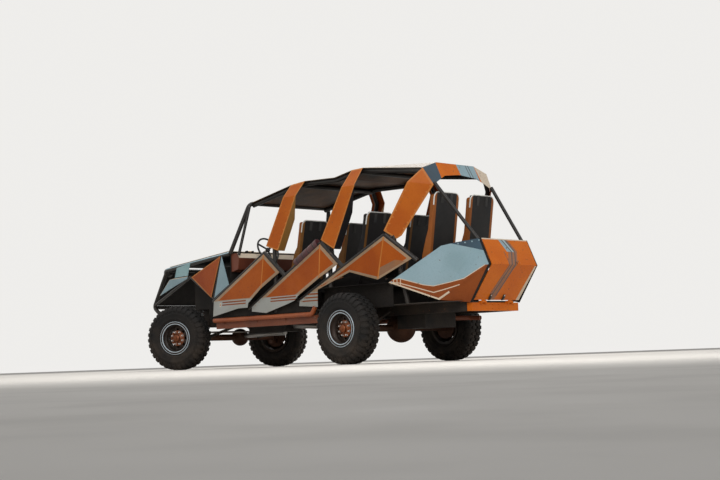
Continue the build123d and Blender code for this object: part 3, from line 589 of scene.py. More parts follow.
nosePanels = [
    {
        "outline": [(2452, 1532), (3256, 1299), (2725, 980)], "base": "orangeEdge",
        "zones": [("noseOrange", inset([(2452, 1532), (3256, 1299), (2725, 980)], 14))],
    },
    {"outline": [(2420, 1530), (2250, 1132), (2640, 974)], "base": "blueGrey", "zones": []},
    {"outline": [(3280, 1500), (3358, 1328), (3729, 1324), (3670, 1460)], "base": "iceBlue", "zones": []},
    {
        "outline": [(3358, 1318), (3729, 1314), (3883, 1304), (4192, 1088), (3802, 1187), (3383, 1285)],
        "base": "blueGrey", "zones": ribbon("creamBright", 14, (3370, 1318), (3883, 1308), (4192, 1092)),
    },
]
paintNode("front_fenders", nosePanels, sideways, "blackSheet")

# Tail door: stripes that turn at the fold, a pale far edge, and a cream band along the top rim that is a
# painted highlight.
hatch = {"haze": (150, 130), "stripe": 17, "line": 9}
hatchZones = [
    ("stripeHaze", [(22, 1452), (-30, 1452), (-150, 1290), (-90, 1290)]),
    *ribbon("stripeHaze", hatch["haze"][0], (-56, 1290), (34, 1130)),
    *ribbon("stripeHaze", hatch["haze"][1], (34, 1130), (120, 760)),
    ("blueGrey", [(145, 1452), (82, 1452), (-38, 1290), (52, 1290)]),
    ("blueGrey", [(70, 1452), (22, 1452), (-90, 1290), (-46, 1290)]),
    *ribbon("stripeDark", hatch["stripe"], (82, 1450), (-38, 1290), (50, 1130), (148, 775)),
    *ribbon("stripeDark", hatch["stripe"], (14, 1450), (-98, 1286), (-14, 1130), (62, 775)),
    *ribbon("stripeWhite", hatch["line"], (47, 1450), (-68, 1288)),
    *ribbon("stripeDark", hatch["line"], (112, 1290), (96, 1130), (190, 790)),
    ("creamBright", [(-436, 1120), (-408, 1120), (-372, 690), (-440, 690)]),
    # A cream band along the top rim: a painted highlight.
    band("creamBright", 1436, 1470, -460, 460),
]
hatchPanel = {
    "outline": [(-438, 700), (438, 700), (438, 1450), (-438, 1450)], "base": "hatchOrange",
    "zones": hatchZones,
}
paintNode("rear_hatch", [hatchPanel], backwards, "blackSheet", "rear_hatch")

visorStripe = 14
visorPanel = {
    "outline": [(-620, 2200), (620, 2200), (620, 2460), (-620, 2460)],
    "base": "hatchOrange",
    "zones": [
        ("navyPaint", [(374, 2500), (404, 2100), (700, 2100), (700, 2500)]),
        ("blueGrey", [(-10, 2500), (-30, 2200), (-365, 2200), (-365, 2500)]),
        *ribbon("stripeDark", visorStripe, (-190, 2480), (-215, 2220)),
        *ribbon("stripeDark", visorStripe, (-240, 2480), (-265, 2220)),
        ("creamBright", [(-368, 2500), (-405, 2100), (-700, 2100), (-700, 2500)]),
    ],
}
paintNode("rear_visor", [visorPanel], backwards, "roofUnder")

roofSeams = {"lines": (1760, 1190, 640, 130, -440), "wide": 14, "reach": 900}
roofZones = []
for x in roofSeams["lines"]:
    roofZones += ribbon("creamTrim", roofSeams["wide"], (x, -roofSeams["reach"]), (x, roofSeams["reach"]))
roofPanel = {
    "outline": [(-1010, -740), (1990, -740), (1990, 740), (-1010, 740)], "base": "roofTop",
    "zones": roofZones,
}
paintNode("roof_panels", [roofPanel], upwards, "roofUnder")

hoodOutline = [(2300, -880), (3960, -575), (3960, 575), (2300, 880)]
hoodPanel = {
    "outline": hoodOutline, "base": "creamBright",
    "zones": [
        ("blueGrey", inset(hoodOutline, 16)),
        ("navyPaint", [(2420, -160), (3900, -95), (3900, 95), (2420, 160)]),
        ("noseOrange", [(2420, -120), (3900, -70), (3900, 70), (2420, 120)]),
    ],
}
paintNode("hood", [hoodPanel], upwards, "blackSheet", "hood")


def paintByRule(node, cuts, rule, body="frame"):
    solid = mergedNode(node)
    layer, count = numberSheets(solid)
    for point, normal in cuts:
        for number in range(count):
            cutSheet(solid, layer, number, point, normal)
    finishSheets(node, solid, rule, body)


def topIs(look, other, least, above=0.0):
    # One finish on the faces that look up by at least so much above a height in metres, another on the rest.
    return lambda face: look if face.normal.z > least and face.calc_center_median().z > above else other


paintByRule("nose_panel", [], lambda face: "iceBlue" if face.normal.x > 0.3 else "blackSheet")
paintByRule("firewall", [], topIs("creamBright", "blackSheet", 0.7, 1.54))
# Painted highlight: the upward faces of the black nose tubes are blue-grey.
paintByRule("nose_side_tubes", [], topIs("blueGrey", "blackTube", 0.3, 1.38))
paintByRule("dashboard", [], topIs("creamBright", "dashBrown", 0.3))

# Seat rows, as in the frame: foot of the back, spacing, width, top, lean; and the trims on them.
seatRows = {
    "front": (1230, 420, 480, 1910, 12),
    "middle": (60, 420, 480, 1910, 12),
    "rear": (-1020, 345, 460, 2060, 9),
}
seat = {"pan": 1000, "sides": 1150, "edge": 42, "under": 30, "frontFrom": 900, "middleFrom": -300}
# Side colours by row: the front row's orange darkened and the middle row's black are painted shade inside the
# cabin; the rear row keeps the orange.
sideVinyl = {"front": "ochreVinyl", "middle": "blackVinyl", "rear": "orangeVinyl"}


def seatShellLook(face):
    x, y, z = station(face.calc_center_median())
    row = "front" if x > seat["frontFrom"] else "middle" if x > seat["middleFrom"] else "rear"
    spacing, wide = seatRows[row][1:3]
    if z > seat["sides"] and abs(abs(y) - spacing) > wide / 2 - seat["edge"] - 1:
        # Painted shade: in the middle row the sideways faces are black and the others the darkened orange.
        if row == "middle" and abs(face.normal.y) <= 0.7:
            return "ochreVinyl"
        return sideVinyl[row]
    return "blackVinyl" if z > seat["pan"] - seat["under"] else "blackSheet"


seatCuts = []
for foot, spacing, wide, top, lean in seatRows.values():
    for y in (spacing - wide / 2 + seat["edge"], spacing + wide / 2 - seat["edge"]):
        seatCuts += [(at(0, y, 0), Vector((0, 1, 0))), (at(0, -y, 0), Vector((0, 1, 0)))]
for z in (seat["sides"], seat["pan"] - seat["under"]):
    seatCuts.append((at(0, 0, z), Vector((0, 0, 1))))
paintByRule("seat_shells", seatCuts, seatShellLook)
print("sheets painted")


creaseAngle = radians(38)


def skin(solid, rings, ends=False):
    # Faces between each ring of corners and the next, and on the two end rings.
    for ring, after in zip(rings, rings[1:]):
        for j in range(len(ring)):
            k = (j + 1) % len(ring)
            solid.faces.new((ring[j], ring[k], after[k], after[j]))
    if ends:
        solid.faces.new(rings[0])
        solid.faces.new(rings[-1])


def closed(solid):
    bmesh.ops.recalc_face_normals(solid, faces=solid.faces)
    if solid.calc_volume(signed=True) < 0:
        bmesh.ops.reverse_faces(solid, faces=solid.faces)
    for face in solid.faces:
        face.smooth = True
    for edge in solid.edges:
        edge.smooth = edge.calc_face_angle(pi) < creaseAngle
    mesh = bpy.data.meshes.new("made")
    solid.to_mesh(mesh)
    solid.free()
    return mesh


def lathe(profile, steps):
    # A closed (radius, place) outline turned about +Y.
    solid = bmesh.new()
    rings = []
    for i in range(steps):
        turn = 2 * pi * i / steps
        rings.append([solid.verts.new((r * cos(turn), y, r * sin(turn))) for r, y in profile])
    skin(solid, rings + rings[:1])
    bmesh.ops.remove_doubles(solid, verts=solid.verts, dist=1e-6)
    return closed(solid)


def boxMesh(low, high, chamfer=0.0):
    solid = bmesh.new()
    size = Vector(high) - Vector(low)
    place = Matrix.Translation((Vector(low) + Vector(high)) / 2) @ Matrix.Diagonal((*size, 1))
    bmesh.ops.create_cube(solid, size=1, matrix=place)
    if chamfer:
        bmesh.ops.bevel(solid, geom=solid.edges[:], offset=chamfer, segments=2, affect="EDGES", profile=0.5)
    return closed(solid)


def tube(points, radius):
    # A round tube through the points, its ring turned along the way without twist.
    sides = 10
    points = [Vector(p) for p in points]
    solid = bmesh.new()
    rings = []
    normal = None
    for i, point in enumerate(points):
        along = (points[min(i + 1, len(points) - 1)] - points[max(i - 1, 0)]).normalized()
        if normal is None:
            normal = along.orthogonal().normalized()
        normal = (normal - along * normal.dot(along)).normalized()
        other = along.cross(normal)
        turns = [2 * pi * j / sides for j in range(sides)]
        rings.append([solid.verts.new(point + (normal * cos(t) + other * sin(t)) * radius) for t in turns])
    skin(solid, rings, ends=True)
    return closed(solid)


def strap(points, wide, thick, across):
    # A flat band through the points, its width along one direction.
    points = [Vector(p) for p in points]
    half = Vector(across).normalized() * (wide / 2)
    solid = bmesh.new()
    rings = []
    for i, point in enumerate(points):
        along = points[min(i + 1, len(points) - 1)] - points[max(i - 1, 0)]
        out = half.cross(along).normalized() * (thick / 2)
        corners = (half + out, out - half, -half - out, half - out)
        rings.append([solid.verts.new(point + corner) for corner in corners])
    skin(solid, rings, ends=True)
    return closed(solid)


def together(meshes):
    # Several meshes in one, each keeping its finishes.
    whole = bmesh.new()
    used = []
    for mesh in meshes:
        slots = []
        for made in mesh.materials:
            if made not in used:
                used.append(made)
            slots.append(used.index(made))
        before = len(whole.faces)
        whole.from_mesh(mesh)
        whole.faces.ensure_lookup_table()
        for face in whole.faces[before:]:
            face.material_index = slots[min(face.material_index, len(slots) - 1)]
    joined = bpy.data.meshes.new("joined")
    whole.to_mesh(joined)
    whole.free()
    for made in used:
        joined.materials.append(made)
    return joined


def dressed(mesh, look, matrix=None):
    if matrix:
        mesh.transform(matrix)
    mesh.materials.clear()
    mesh.materials.append(looks[look])
    return mesh


# Geometry Nodes: rings of one model, rows of one model along lines, and a coil.


def newTree(name, inputs):
    tree = bpy.data.node_groups.new(name, "GeometryNodeTree")
    tree.interface.new_socket("Geometry", in_out="INPUT", socket_type="NodeSocketGeometry")
    for label, kind in inputs:
        tree.interface.new_socket(label, in_out="INPUT", socket_type="NodeSocket" + kind)
    tree.interface.new_socket("Geometry", in_out="OUTPUT", socket_type="NodeSocketGeometry")
    return tree, tree.nodes.new("NodeGroupInput").outputs, tree.nodes.new("NodeGroupOutput").inputs[0]


def endTree(tree, shape, given, out):
    real = addNode(tree, "GeometryNodeRealizeInstances", [("Geometry", shape)])
    last = addNode(tree, "GeometryNodeSetMaterial", [
        ("Geometry", real.outputs[0]), ("Material", given["Finish"]),
    ])
    tree.links.new(last.outputs[0], out)
    return tree


def placeModel(tree, given, points, turn):
    model = addNode(tree, "GeometryNodeObjectInfo", [("Object", given["Piece"])])
    return addNode(tree, "GeometryNodeInstanceOnPoints", [
        ("Points", points), ("Instance", model.outputs["Geometry"]), ("Rotation", turn),
    ]).outputs[0]


def ringTree():
    tree, given, out = newTree("ringOfPieces", [
        ("Piece", "Object"), ("Count", "Int"), ("Radius", "Float"), ("Start", "Float"),
        ("Finish", "Material"),
    ])
    circle = addNode(tree, "GeometryNodeMeshCircle", [
        ("Vertices", given["Count"]), ("Radius", given["Radius"]),
    ])
    index = addNode(tree, "GeometryNodeInputIndex")
    step = addNode(tree, "ShaderNodeMath", [(0, 2 * pi), (1, given["Count"])], operation="DIVIDE")
    turn = addNode(tree, "ShaderNodeMath", [
        (0, index.outputs[0]), (1, step.outputs[0]),
    ], operation="MULTIPLY")
    facing = addNode(tree, "ShaderNodeCombineXYZ", [(2, turn.outputs[0])])
    placed = placeModel(tree, given, circle.outputs[0], facing.outputs[0])
    whole = addNode(tree, "ShaderNodeCombineXYZ", [(2, given["Start"])])
    turned = addNode(tree, "GeometryNodeTransform", [("Geometry", placed), ("Rotation", whole.outputs[0])])
    return endTree(tree, turned.outputs[0], given, out)


def rowTree():
    tree, given, out = newTree("rowOfPieces", [
        ("Piece", "Object"), ("Spacing", "Float"), ("Finish", "Material"),
    ])
    line = addNode(tree, "GeometryNodeMeshToCurve", [("Mesh", given["Geometry"])])
    spaced = addNode(tree, "GeometryNodeResampleCurve", [
        ("Curve", line.outputs[0]), ("Length", given["Spacing"]),
    ], mode="LENGTH")
    facing = addNode(tree, "GeometryNodeInputNamedAttribute", [("Name", "facing")], data_type="FLOAT_VECTOR")
    turned = addNode(tree, "FunctionNodeAlignRotationToVector", [("Vector", facing.outputs[0])], axis="Z")
    placed = placeModel(tree, given, spaced.outputs[0], turned.outputs[0])
    return endTree(tree, placed, given, out)


def coilTree():
    tree, given, out = newTree("coil", [
        ("Turns", "Float"), ("Radius", "Float"), ("Height", "Float"), ("Wire", "Float"),
        ("Finish", "Material"),
    ])
    spiral = addNode(tree, "GeometryNodeCurveSpiral", [
        ("Resolution", 28), ("Rotations", given["Turns"]), ("Start Radius", given["Radius"]),
        ("End Radius", given["Radius"]), ("Height", given["Height"]),
    ])
    wire = addNode(tree, "GeometryNodeCurvePrimitiveCircle", [("Resolution", 10), ("Radius", given["Wire"])])
    shape = addNode(tree, "GeometryNodeCurveToMesh", [
        ("Curve", spiral.outputs[0]), ("Profile Curve", wire.outputs[0]), ("Fill Caps", True),
    ])
    return endTree(tree, shape.outputs[0], given, out)


ringOfPieces, rowOfPieces, coil = ringTree(), rowTree(), coilTree()


def grow(tree, source=None, **values):
    # Runs a tree once and gives back its plain mesh.
    carrier = bpy.data.objects.new("carrier", source or bpy.data.meshes.new("carrier"))
    scene.collection.objects.link(carrier)
    model = None
    if "Piece" in values:
        model = bpy.data.objects.new("pieceModel", values["Piece"])
        scene.collection.objects.link(model)
        values["Piece"] = model
    values["Finish"] = looks[values["Finish"]]
    modifier = carrier.modifiers.new("grow", "NODES")
    modifier.node_group = tree
    for item in tree.interface.items_tree:
        if item.item_type == "SOCKET" and item.in_out == "INPUT" and item.name in values:
            modifier[item.identifier] = values[item.name]
    ready = carrier.evaluated_get(bpy.context.evaluated_depsgraph_get())
    mesh = bpy.data.meshes.new_from_object(ready)
    bpy.data.objects.remove(carrier)
    if model:
        bpy.data.objects.remove(model)
    return mesh


def ringOf(model, count, look, radius=0.0, start=0.0, out=0.0):
    # A ring of one model about +Y, so far out along it. The model has +Z along that axis.
    ring = grow(ringOfPieces, Piece=model, Count=count, Radius=radius, Start=start, Finish=look)
    ring.transform(Matrix.Translation((0, out, 0)) @ Matrix.Rotation(-pi / 2, 4, "X"))
    return ring


def lines(runs):
    # The lines that rows follow: for each run its points in metres, and the way that its pieces face.
    points, edges, ways = [], [], []
    for run, way in runs:
        edges += [(i, i + 1) for i in range(len(points), len(points) + len(run) - 1)]
        points += [tuple(p) for p in run]
        ways += [way] * len(run)
    mesh = bpy.data.meshes.new("lines")
    mesh.from_pydata(points, edges, [])
    layer = mesh.attributes.new("facing", "FLOAT_VECTOR", "POINT")
    for i, way in enumerate(ways):
        layer.data[i].vector = way
    return mesh


def upright(mesh):
    # A model lathed about +Y stood up about +Z.
    mesh.transform(Matrix.Rotation(pi / 2, 4, "X"))
    return mesh


bolt = {"head": 0.0075, "high": 0.0045, "washer": 0.011, "steps": (0.0015, 0.002), "sides": 8}


def boltModel(scale):
    r, h, w = bolt["head"] * scale, bolt["high"] * scale, bolt["washer"] * scale
    low, high = (step * scale for step in bolt["steps"])
    profile = [(0, 0), (w, 0), (w, low), (r, high), (r * 0.86, h), (0, h * 1.1)]
    return upright(lathe(profile, bolt["sides"]))


# Wheels: each axle's station, distance out to the hub or kingpin, steering angle, and hub's way out from it.
axles = {"rear": (0, 990, 0, 0), "front": (3330, 870, 22, 0.12)}
wheelHigh = 444.5
wheelAt = {}
for row, (x, y, steer, hub) in axles.items():
    for word, side in (("left", 1), ("right", -1)):
        place = Matrix.Translation(at(x, y * side, wheelHigh)) @ Matrix.Rotation(radians(steer), 4, "Z")
        place = place @ Matrix.Translation((0, hub * side, 0))
        wheelAt[row + "_" + word] = place if side > 0 else place @ Matrix.Rotation(pi, 4, "Z")

# Lugs and scuffs: +X away from the axle, Y round the tyre, Z along the axle. Each lug is its low and high
# corner, its chamfer and how far it stands from the tyre's middle.
tyre = {
    "radius": 0.4445, "wall": 0.155, "bead": 0.226, "lugDeep": 0.017, "lugs": 34, "scuffs": 68,
    "middleLug": ((0.424, -0.023, -0.033), (0.4439, 0.023, 0.033), 0.005, 0.037),
    "smallLug": ((0.424, -0.014, -0.02), (0.4439, 0.014, 0.02), 0.003, 0.052),
    "scuff": ((0.340, -0.004, 0.146), (0.364, 0.004, 0.1560), 0.0015),
    "shoulder": [
        (0.415, 0.070), (0.4436, 0.072), (0.4432, 0.104), (0.428, 0.126), (0.398, 0.1445), (0.372, 0.1545),
        (0.366, 0.146), (0.400, 0.118),
    ],
    "shoulderHalf": 0.0235, "shoulderChamfer": 0.003,
}


def shoulderLug(side):
    solid = bmesh.new()
    ends = (-tyre["shoulderHalf"], tyre["shoulderHalf"])
    rings = [[solid.verts.new((r, y, z * side)) for r, z in tyre["shoulder"]] for y in ends]
    skin(solid, rings, ends=True)
    bmesh.ops.recalc_face_normals(solid, faces=solid.faces)
    bmesh.ops.bevel(solid, geom=solid.edges[:], offset=tyre["shoulderChamfer"], segments=1, affect="EDGES")
    return closed(solid)


def tyreMesh():
    top, wall = tyre["radius"] - tyre["lugDeep"], tyre["wall"]
    outer = [
        (tyre["bead"] - 0.018, 0.114), (tyre["bead"], 0.117), (0.240, 0.128), (0.262, 0.146), (0.268, 0.150),
        (0.274, 0.149), (0.300, wall - 0.001), (0.324, wall), (0.330, wall + 0.003), (0.336, wall + 0.003),
        (0.342, wall - 0.001), (0.368, wall - 0.009), (0.392, 0.138), (0.410, 0.124), (top - 0.004, 0.112),
        (top, 0.100), (top, 0.004), (top - 0.006, 0.003),
    ]
    made = [dressed(lathe(outer + [(r, -y) for r, y in reversed(outer)], 96), "tyreRubber")]
    step = 2 * pi / tyre["lugs"]
    for side in (1, -1):
        early, late = (0.25, 0.75) if side > 0 else (0.75, 0.25)
        made.append(ringOf(shoulderLug(side), tyre["lugs"], "tyreRubber", start=step * early))
        for kind, share in (("middleLug", late), ("smallLug", early)):
            low, high, chamfer, out = tyre[kind]
            lug = boxMesh(low, high, chamfer)
            lug.transform(Matrix.Translation((0, 0, out * side)))
            made.append(ringOf(lug, tyre["lugs"], "tyreRubber", start=step * share))
        scuff = boxMesh(*tyre["scuff"])
        scuff.transform(Matrix.Diagonal((1, 1, side, 1)))
        if side < 0:
            scuff.flip_normals()
        made.append(ringOf(scuff, tyre["scuffs"], "tyreRubber"))
    return together(made)


# Rim: two light lips, each with its ring, width and depth, the hub's cup and flange, nuts, bolts and valve.
rim = {
    "lips": ((0.2245, 0.0068, 0.0075), (0.1975, 0.0085, 0.0075)), "lipAt": 0.1285,
    "cup": [
        (0, 0.074), (0.030, 0.074), (0.044, 0.079), (0.050, 0.088), (0.050, 0.098), (0.040, 0.108),
        (0.022, 0.112), (0.018, 0.120), (0, 0.122),
    ],
    "flange": [(0.050, 0.044), (0.106, 0.0475), (0.106, 0.053), (0.072, 0.058), (0.052, 0.074)],
    "nut": [
        (0, 0), (0.0155, 0), (0.0155, 0.003), (0.0125, 0.004), (0.0125, 0.018), (0.009, 0.023), (0, 0.024),
    ],
    "nuts": {"count": 8, "radius": 0.086, "start": 0.39, "out": 0.054},
    "bolts": {"count": 20, "radius": 0.2105, "start": 0.1, "out": 0.1348},
    "valve": [(0.205, 0.118, 0), (0.190, 0.124, 0), (0.180, 0.130, 0)], "valveRadius": 0.0045,
    "paintFrom": 0.12, "paintLips": (0.19, 0.2, 0.2185), "hubRadius": 0.071, "hubFrom": 0.02,
}


def rimTrimMesh():
    made = []
    for radius, wide, deep in rim["lips"]:
        turns = [2 * pi * i / 10 for i in range(10)]
        section = [(radius + wide * cos(t), rim["lipAt"] + deep * sin(t)) for t in turns]
        made.append(dressed(lathe(section, 72), "lipBlue"))
    made.append(dressed(lathe(rim["cup"], 40), "copperHub"))
    made.append(dressed(lathe(rim["flange"], 48), "copperHub"))
    made.append(ringOf(upright(lathe(rim["nut"], 6)), look="brightSteel", **rim["nuts"]))
    made.append(ringOf(boltModel(1.0), look="rimDark", **rim["bolts"]))
    made.append(dressed(tube(rim["valve"], rim["valveRadius"]), "gripRubber"))
    return together(made)


def makeWheels():
    tyreShape, trimShape = tyreMesh(), rimTrimMesh()
    for name, place in wheelAt.items():
        body = name + "_wheel"
        shape = tyreShape.copy()
        shape.transform(place)
        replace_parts(makePiece(name + "_lugged_tyre", shape, body), name + "_tyre")
        trim = trimShape.copy()
        trim.transform(place)
        makePiece(name + "_rim_trim", trim, body)
        back = place.inverted()

        def rimLook(face):
            spots = [back @ v.co for v in face.verts]
            r = sum(hypot(p.x, p.z) for p in spots) / len(spots)
            out = (back @ face.calc_center_median()).y
            low, mid, high = rim["paintLips"]
            if out > rim["paintFrom"] and (low < r < mid or r > high):
                return "lipBlue"
            return "copperHub" if r < rim["hubRadius"] and out > rim["hubFrom"] else "rimDark"

        paintByRule(name + "_rim", [], rimLook, body)


makeWheels()
print("wheels made")

# Seats: one base and one back cushion are swollen by cloth pressure and copied to the six shells. Channels,
# side seams and end seams are pressed in afterwards, each by its depth and width.
cushion = {
    "base": (0.420, 0.4554, 0.110), "back": (0.100, 0.4554, 0.7756), "corner": 0.022, "voxel": 0.0118,
    "pressure": 4.0, "shrink": 0.009, "cap": 0.010, "proud": 0.002, "channels": (-0.09, -0.03, 0.03, 0.09),
    "channel": (0.0055, 0.0085), "bolster": 0.150, "sideSeam": (0.010, 0.010), "endSeam": (0.006, 0.010),
    "endIn": 0.045, "fadeIn": 0.035, "fade": 0.03,
}


def bump(distance, width):
    return exp(-((distance / width) ** 2))


def puffed(name, mesh, voxel, pressure, cap, rounds=20, subdivide=True):
    pad = bpy.data.objects.new(name, mesh)
    scene.collection.objects.link(pad)

    def settled():
        return bpy.data.meshes.new_from_object(pad.evaluated_get(bpy.context.evaluated_depsgraph_get()))

    coarse = pad.modifiers.new("remesh", "REMESH")
    coarse.mode = "VOXEL"
    coarse.voxel_size = voxel
    shape = settled()
    pad.modifiers.clear()
    pad.data = shape
    cloth = pad.modifiers.new("cloth", "CLOTH")
    cloth.settings.use_pressure = True
    cloth.settings.uniform_pressure_force = pressure
    cloth.settings.effector_weights.gravity = 0
    cloth.point_cache.frame_end = rounds
    for step in range(1, rounds + 1):
        scene.frame_set(step)
    swollen = settled()
    pad.modifiers.clear()
    for point, moved in zip(shape.vertices, swollen.vertices):
        move = moved.co - point.co
        if move.length > cap:
            move *= cap / move.length
        point.co += move
    scene.frame_set(1)
    if subdivide:
        finer = pad.modifiers.new("finer", "SUBSURF")
        finer.levels = finer.render_levels = 1
        shape = settled()
    bpy.data.objects.remove(pad)
    for face in shape.polygons:
        face.use_smooth = True
    return shape


def cushionShape(kind):
    size = Vector(cushion[kind]) / 2 - Vector((cushion["shrink"],) * 3)
    form = boxMesh(-size, size, cushion["corner"])
    shape = puffed(kind, form, cushion["voxel"], cushion["pressure"], cushion["cap"])
    outer, along = (2, 0) if kind == "base" else (0, 2)  # the axis that faces the sitter, and the long one
    reach = cushion[kind][along] / 2
    limit = Vector(cushion[kind]) / 2 + Vector((cushion["proud"],) * 3)
    facing = [point.normal[outer] for point in shape.vertices]
    channelDeep, channelWide = cushion["channel"]
    sideDeep, sideWide = cushion["sideSeam"]
    endDeep, endWide = cushion["endSeam"]
    for point, way in zip(shape.vertices, facing):
        if way > 0.25:
            y, t = point.co.y, abs(point.co[along])
            fade = max(0.0, min(1.0, (reach - cushion["fadeIn"] - t) / cushion["fade"]))
            dent = channelDeep * sum(bump(y - c, channelWide) for c in cushion["channels"]) * fade
            dent += sideDeep * bump(abs(y) - cushion["bolster"], sideWide)
            if abs(y) < cushion["bolster"]:
                dent += endDeep * bump(t - (reach - cushion["endIn"]), endWide)
            point.co[outer] -= dent
        for axis in range(3):
            point.co[axis] = max(-limit[axis], min(limit[axis], point.co[axis]))
    shape.materials.append(looks["blackVinyl"])
    shape.materials.append(looks["orangeVinyl"])
    for face in shape.polygons:
        face.material_index = 1 if abs(face.center.y) > cushion["bolster"] + 0.004 else 0
    return shape


# How things fit in a shell, in millimetres: the back plate's place, the walls, and where the cushions start.
fit = {
    "plate": 40, "sunk": 10, "walls": 24.6, "baseAt": 310, "baseHigh": 61.3, "backFoot": 155, "backAt": 57.3,
}


def backPlace(foot, y, lean):
    place = Matrix.Translation(at(foot + fit["plate"], y, seat["pan"] - fit["sunk"]))
    return place @ Matrix.Rotation(radians(-lean), 4, "Y")


piping = {"corner": 0.07, "below": 0.16, "steps": 8, "radius": 0.0085}


def topTrim(wide, tall):
    # Piping round the top of a shell's back plate, in the plate's own frame.
    half, corner, top = wide / 2000, piping["corner"], tall / 1000
    points = [(0, half, top - piping["below"]), (0, half, top - corner)]
    for i in range(1, piping["steps"] + 1):
        turn = pi / 2 * i / piping["steps"]
        points.append((0, half - corner * (1 - cos(turn)), top - corner + corner * sin(turn)))
    points += [(0, -y, z) for x, y, z in reversed(points)]
    return points


# Harness: each adjuster's bars as low and high depth, side and height about a point of the strap.
harness = {
    "wide": 0.048, "thick": 0.003, "apart": 0.085, "behind": -0.0668, "ahead": 0.0595, "adjusterDown": 0.30,
    "bars": (
        (0.0585, 0.0655, -0.031, 0.031, -0.022, -0.014), (0.0585, 0.0655, -0.031, 0.031, 0.014, 0.022),
        (0.0585, 0.0655, -0.031, -0.025, -0.022, 0.022), (0.0585, 0.0655, 0.025, 0.031, -0.022, 0.022),
        (0.0600, 0.0670, -0.031, 0.031, -0.003, 0.003),
    ),
    "chamfer": 0.0012,
}


def makeHarness(half):
    # Two shoulder straps down the front of a back cushion, in its own frame, each with a steel adjuster.
    made = []
    behind, ahead = harness["behind"], harness["ahead"]
    for side in (-1, 1):
        y = harness["apart"] * side
        path = [
            (behind, y, half - 0.12), (behind, y, half + 0.004), (-0.062, y, half + 0.0118),
            (-0.050, y, half + 0.0118), (-0.03, y, half + 0.006), (0.035, y, half + 0.006),
            (0.053, y, half - 0.004), (0.059, y, half - 0.03), (ahead, y, half * 0.5),
            (ahead, y, -half * 0.3), (ahead, y * 0.8, -half + 0.09), (0.075, y * 0.6, -half + 0.035),
        ]
        made.append(dressed(strap(path, harness["wide"], harness["thick"], (0, 1, 0)), "webbing"))
        z = half - harness["adjusterDown"]
        for x0, x1, y0, y1, z0, z1 in harness["bars"]:
            bar = boxMesh((x0, y + y0, z + z0), (x1, y + y1, z + z1), harness["chamfer"])
            made.append(dressed(bar, "brightSteel"))
    return together(made)


def makeSeats():
    shapes = {kind: cushionShape(kind) for kind in ("base", "back")}
    across, height = (size * 1000 for size in cushion["back"][1:])
    for row, (foot, spacing, wide, top, lean) in seatRows.items():
        tall = (top - seat["pan"] + fit["sunk"]) / cos(radians(lean))
        long = tall - fit["backFoot"] - fit["sunk"]
        widen = (wide - fit["walls"]) / across
        for side, word in ((1, "left"), (-1, "right")):
            y = side * spacing
            plate = backPlace(foot, y, lean)
            base = shapes["base"].copy()
            base.transform(Matrix.Diagonal((1, widen, 1, 1)))
            base.transform(Matrix.Translation(at(foot + fit["baseAt"], y, seat["pan"] + fit["baseHigh"])))
            back = shapes["back"].copy()
            back.transform(Matrix.Diagonal((1, widen, long / height, 1)))
            middle = Vector((fit["backAt"], 0, fit["backFoot"] + long / 2)) / 1000
            onPlate = plate @ Matrix.Translation(middle)
            back.transform(onPlate)
            # Painted shade: the middle row's back bolsters are black instead of orange.
            if row == "middle":
                back.materials[1] = looks["blackVinyl"]
            for mesh, kind in ((base, "base"), (back, "back")):
                piece = makePiece("_".join((row, word, kind, "cushion")), mesh)
                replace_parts(piece, "seat_cushions")
            trim = dressed(tube(topTrim(wide, tall), piping["radius"]), "whitePiping", plate)
            belts = makeHarness(long / 2000)
            belts.transform(onPlate)
            makePiece("_".join((row, word, "seat_trim")), together([trim, belts]))


makeSeats()
print("seats made")

# Padded rolls on the middle panels' tubes, with their tie bands at these shares of their length.
roll = {
    "ends": ((950, 917, 1325), (540, 917, 1560)), "long": 0.472,
    "voxel": 0.007, "pressure": 2.5, "cap": 0.003,
    "bands": (0.14, 0.38, 0.62, 0.86), "bandRadius": 0.0545, "bandWide": 0.016, "bandThick": 0.003,
    "bandDeep": 0.006, "pinch": 0.012, "creases": 26, "creaseDeep": 0.0015, "skinFrom": 0.045,
}


def makeRolls():
    solid = mergedNode("belt_pads")
    bmesh.ops.recalc_face_normals(solid, faces=solid.faces)
    start = bpy.data.meshes.new("rolls")
    solid.to_mesh(start)
    solid.free()
    shape = puffed("rolls", start, roll["voxel"], roll["pressure"], roll["cap"], subdivide=False)
    bands = []
    for side in (1, -1):
        foot, head = (at(x, y * side, z) for x, y, z in roll["ends"])
        run = head - foot
        along = run.normalized()
        for point in shape.vertices:
            if point.co.y * side > 0:
                spot = point.co - foot
                t = spot.dot(along)
                away = spot - along * t
                gaps = [(t / run.length - b) * roll["long"] for b in roll["bands"]]
                pull = roll["bandDeep"] * sum(bump(gap, roll["pinch"]) for gap in gaps)
                pull += roll["creaseDeep"] * (1 + noise.noise(point.co * roll["creases"]))
                if away.length > roll["skinFrom"]:
                    point.co -= away.normalized() * pull
        inward = along.cross(Vector((0, 0, 1))).normalized() * roll["bandRadius"]
        upward = inward.cross(along)
        for b in roll["bands"]:
            turns = [2 * pi * i / 40 for i in range(41)]
            ring = [foot.lerp(head, b) + inward * cos(t) + upward * sin(t) for t in turns]
            bands.append(dressed(strap(ring, roll["bandWide"], roll["bandThick"], along), "webbing"))
    piece = makePiece("belt_roll_pads", dressed(shape, "maroonPad"))
    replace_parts(piece, "belt_pads")
    makePiece("belt_roll_bands", together(bands))


makeRolls()
print("padded rolls made")

springs = {
    "wire": 0.0068, "radius": 0.0565, "turns": 6.5, "foot": 504.5,
    "places": ((0, 560, 690), (3330, 560, 835)),
    "stop": [(0, 0), (0.030, 0), (0.034, 0.012), (0.024, 0.050), (0.020, 0.075), (0, 0.080)],
}


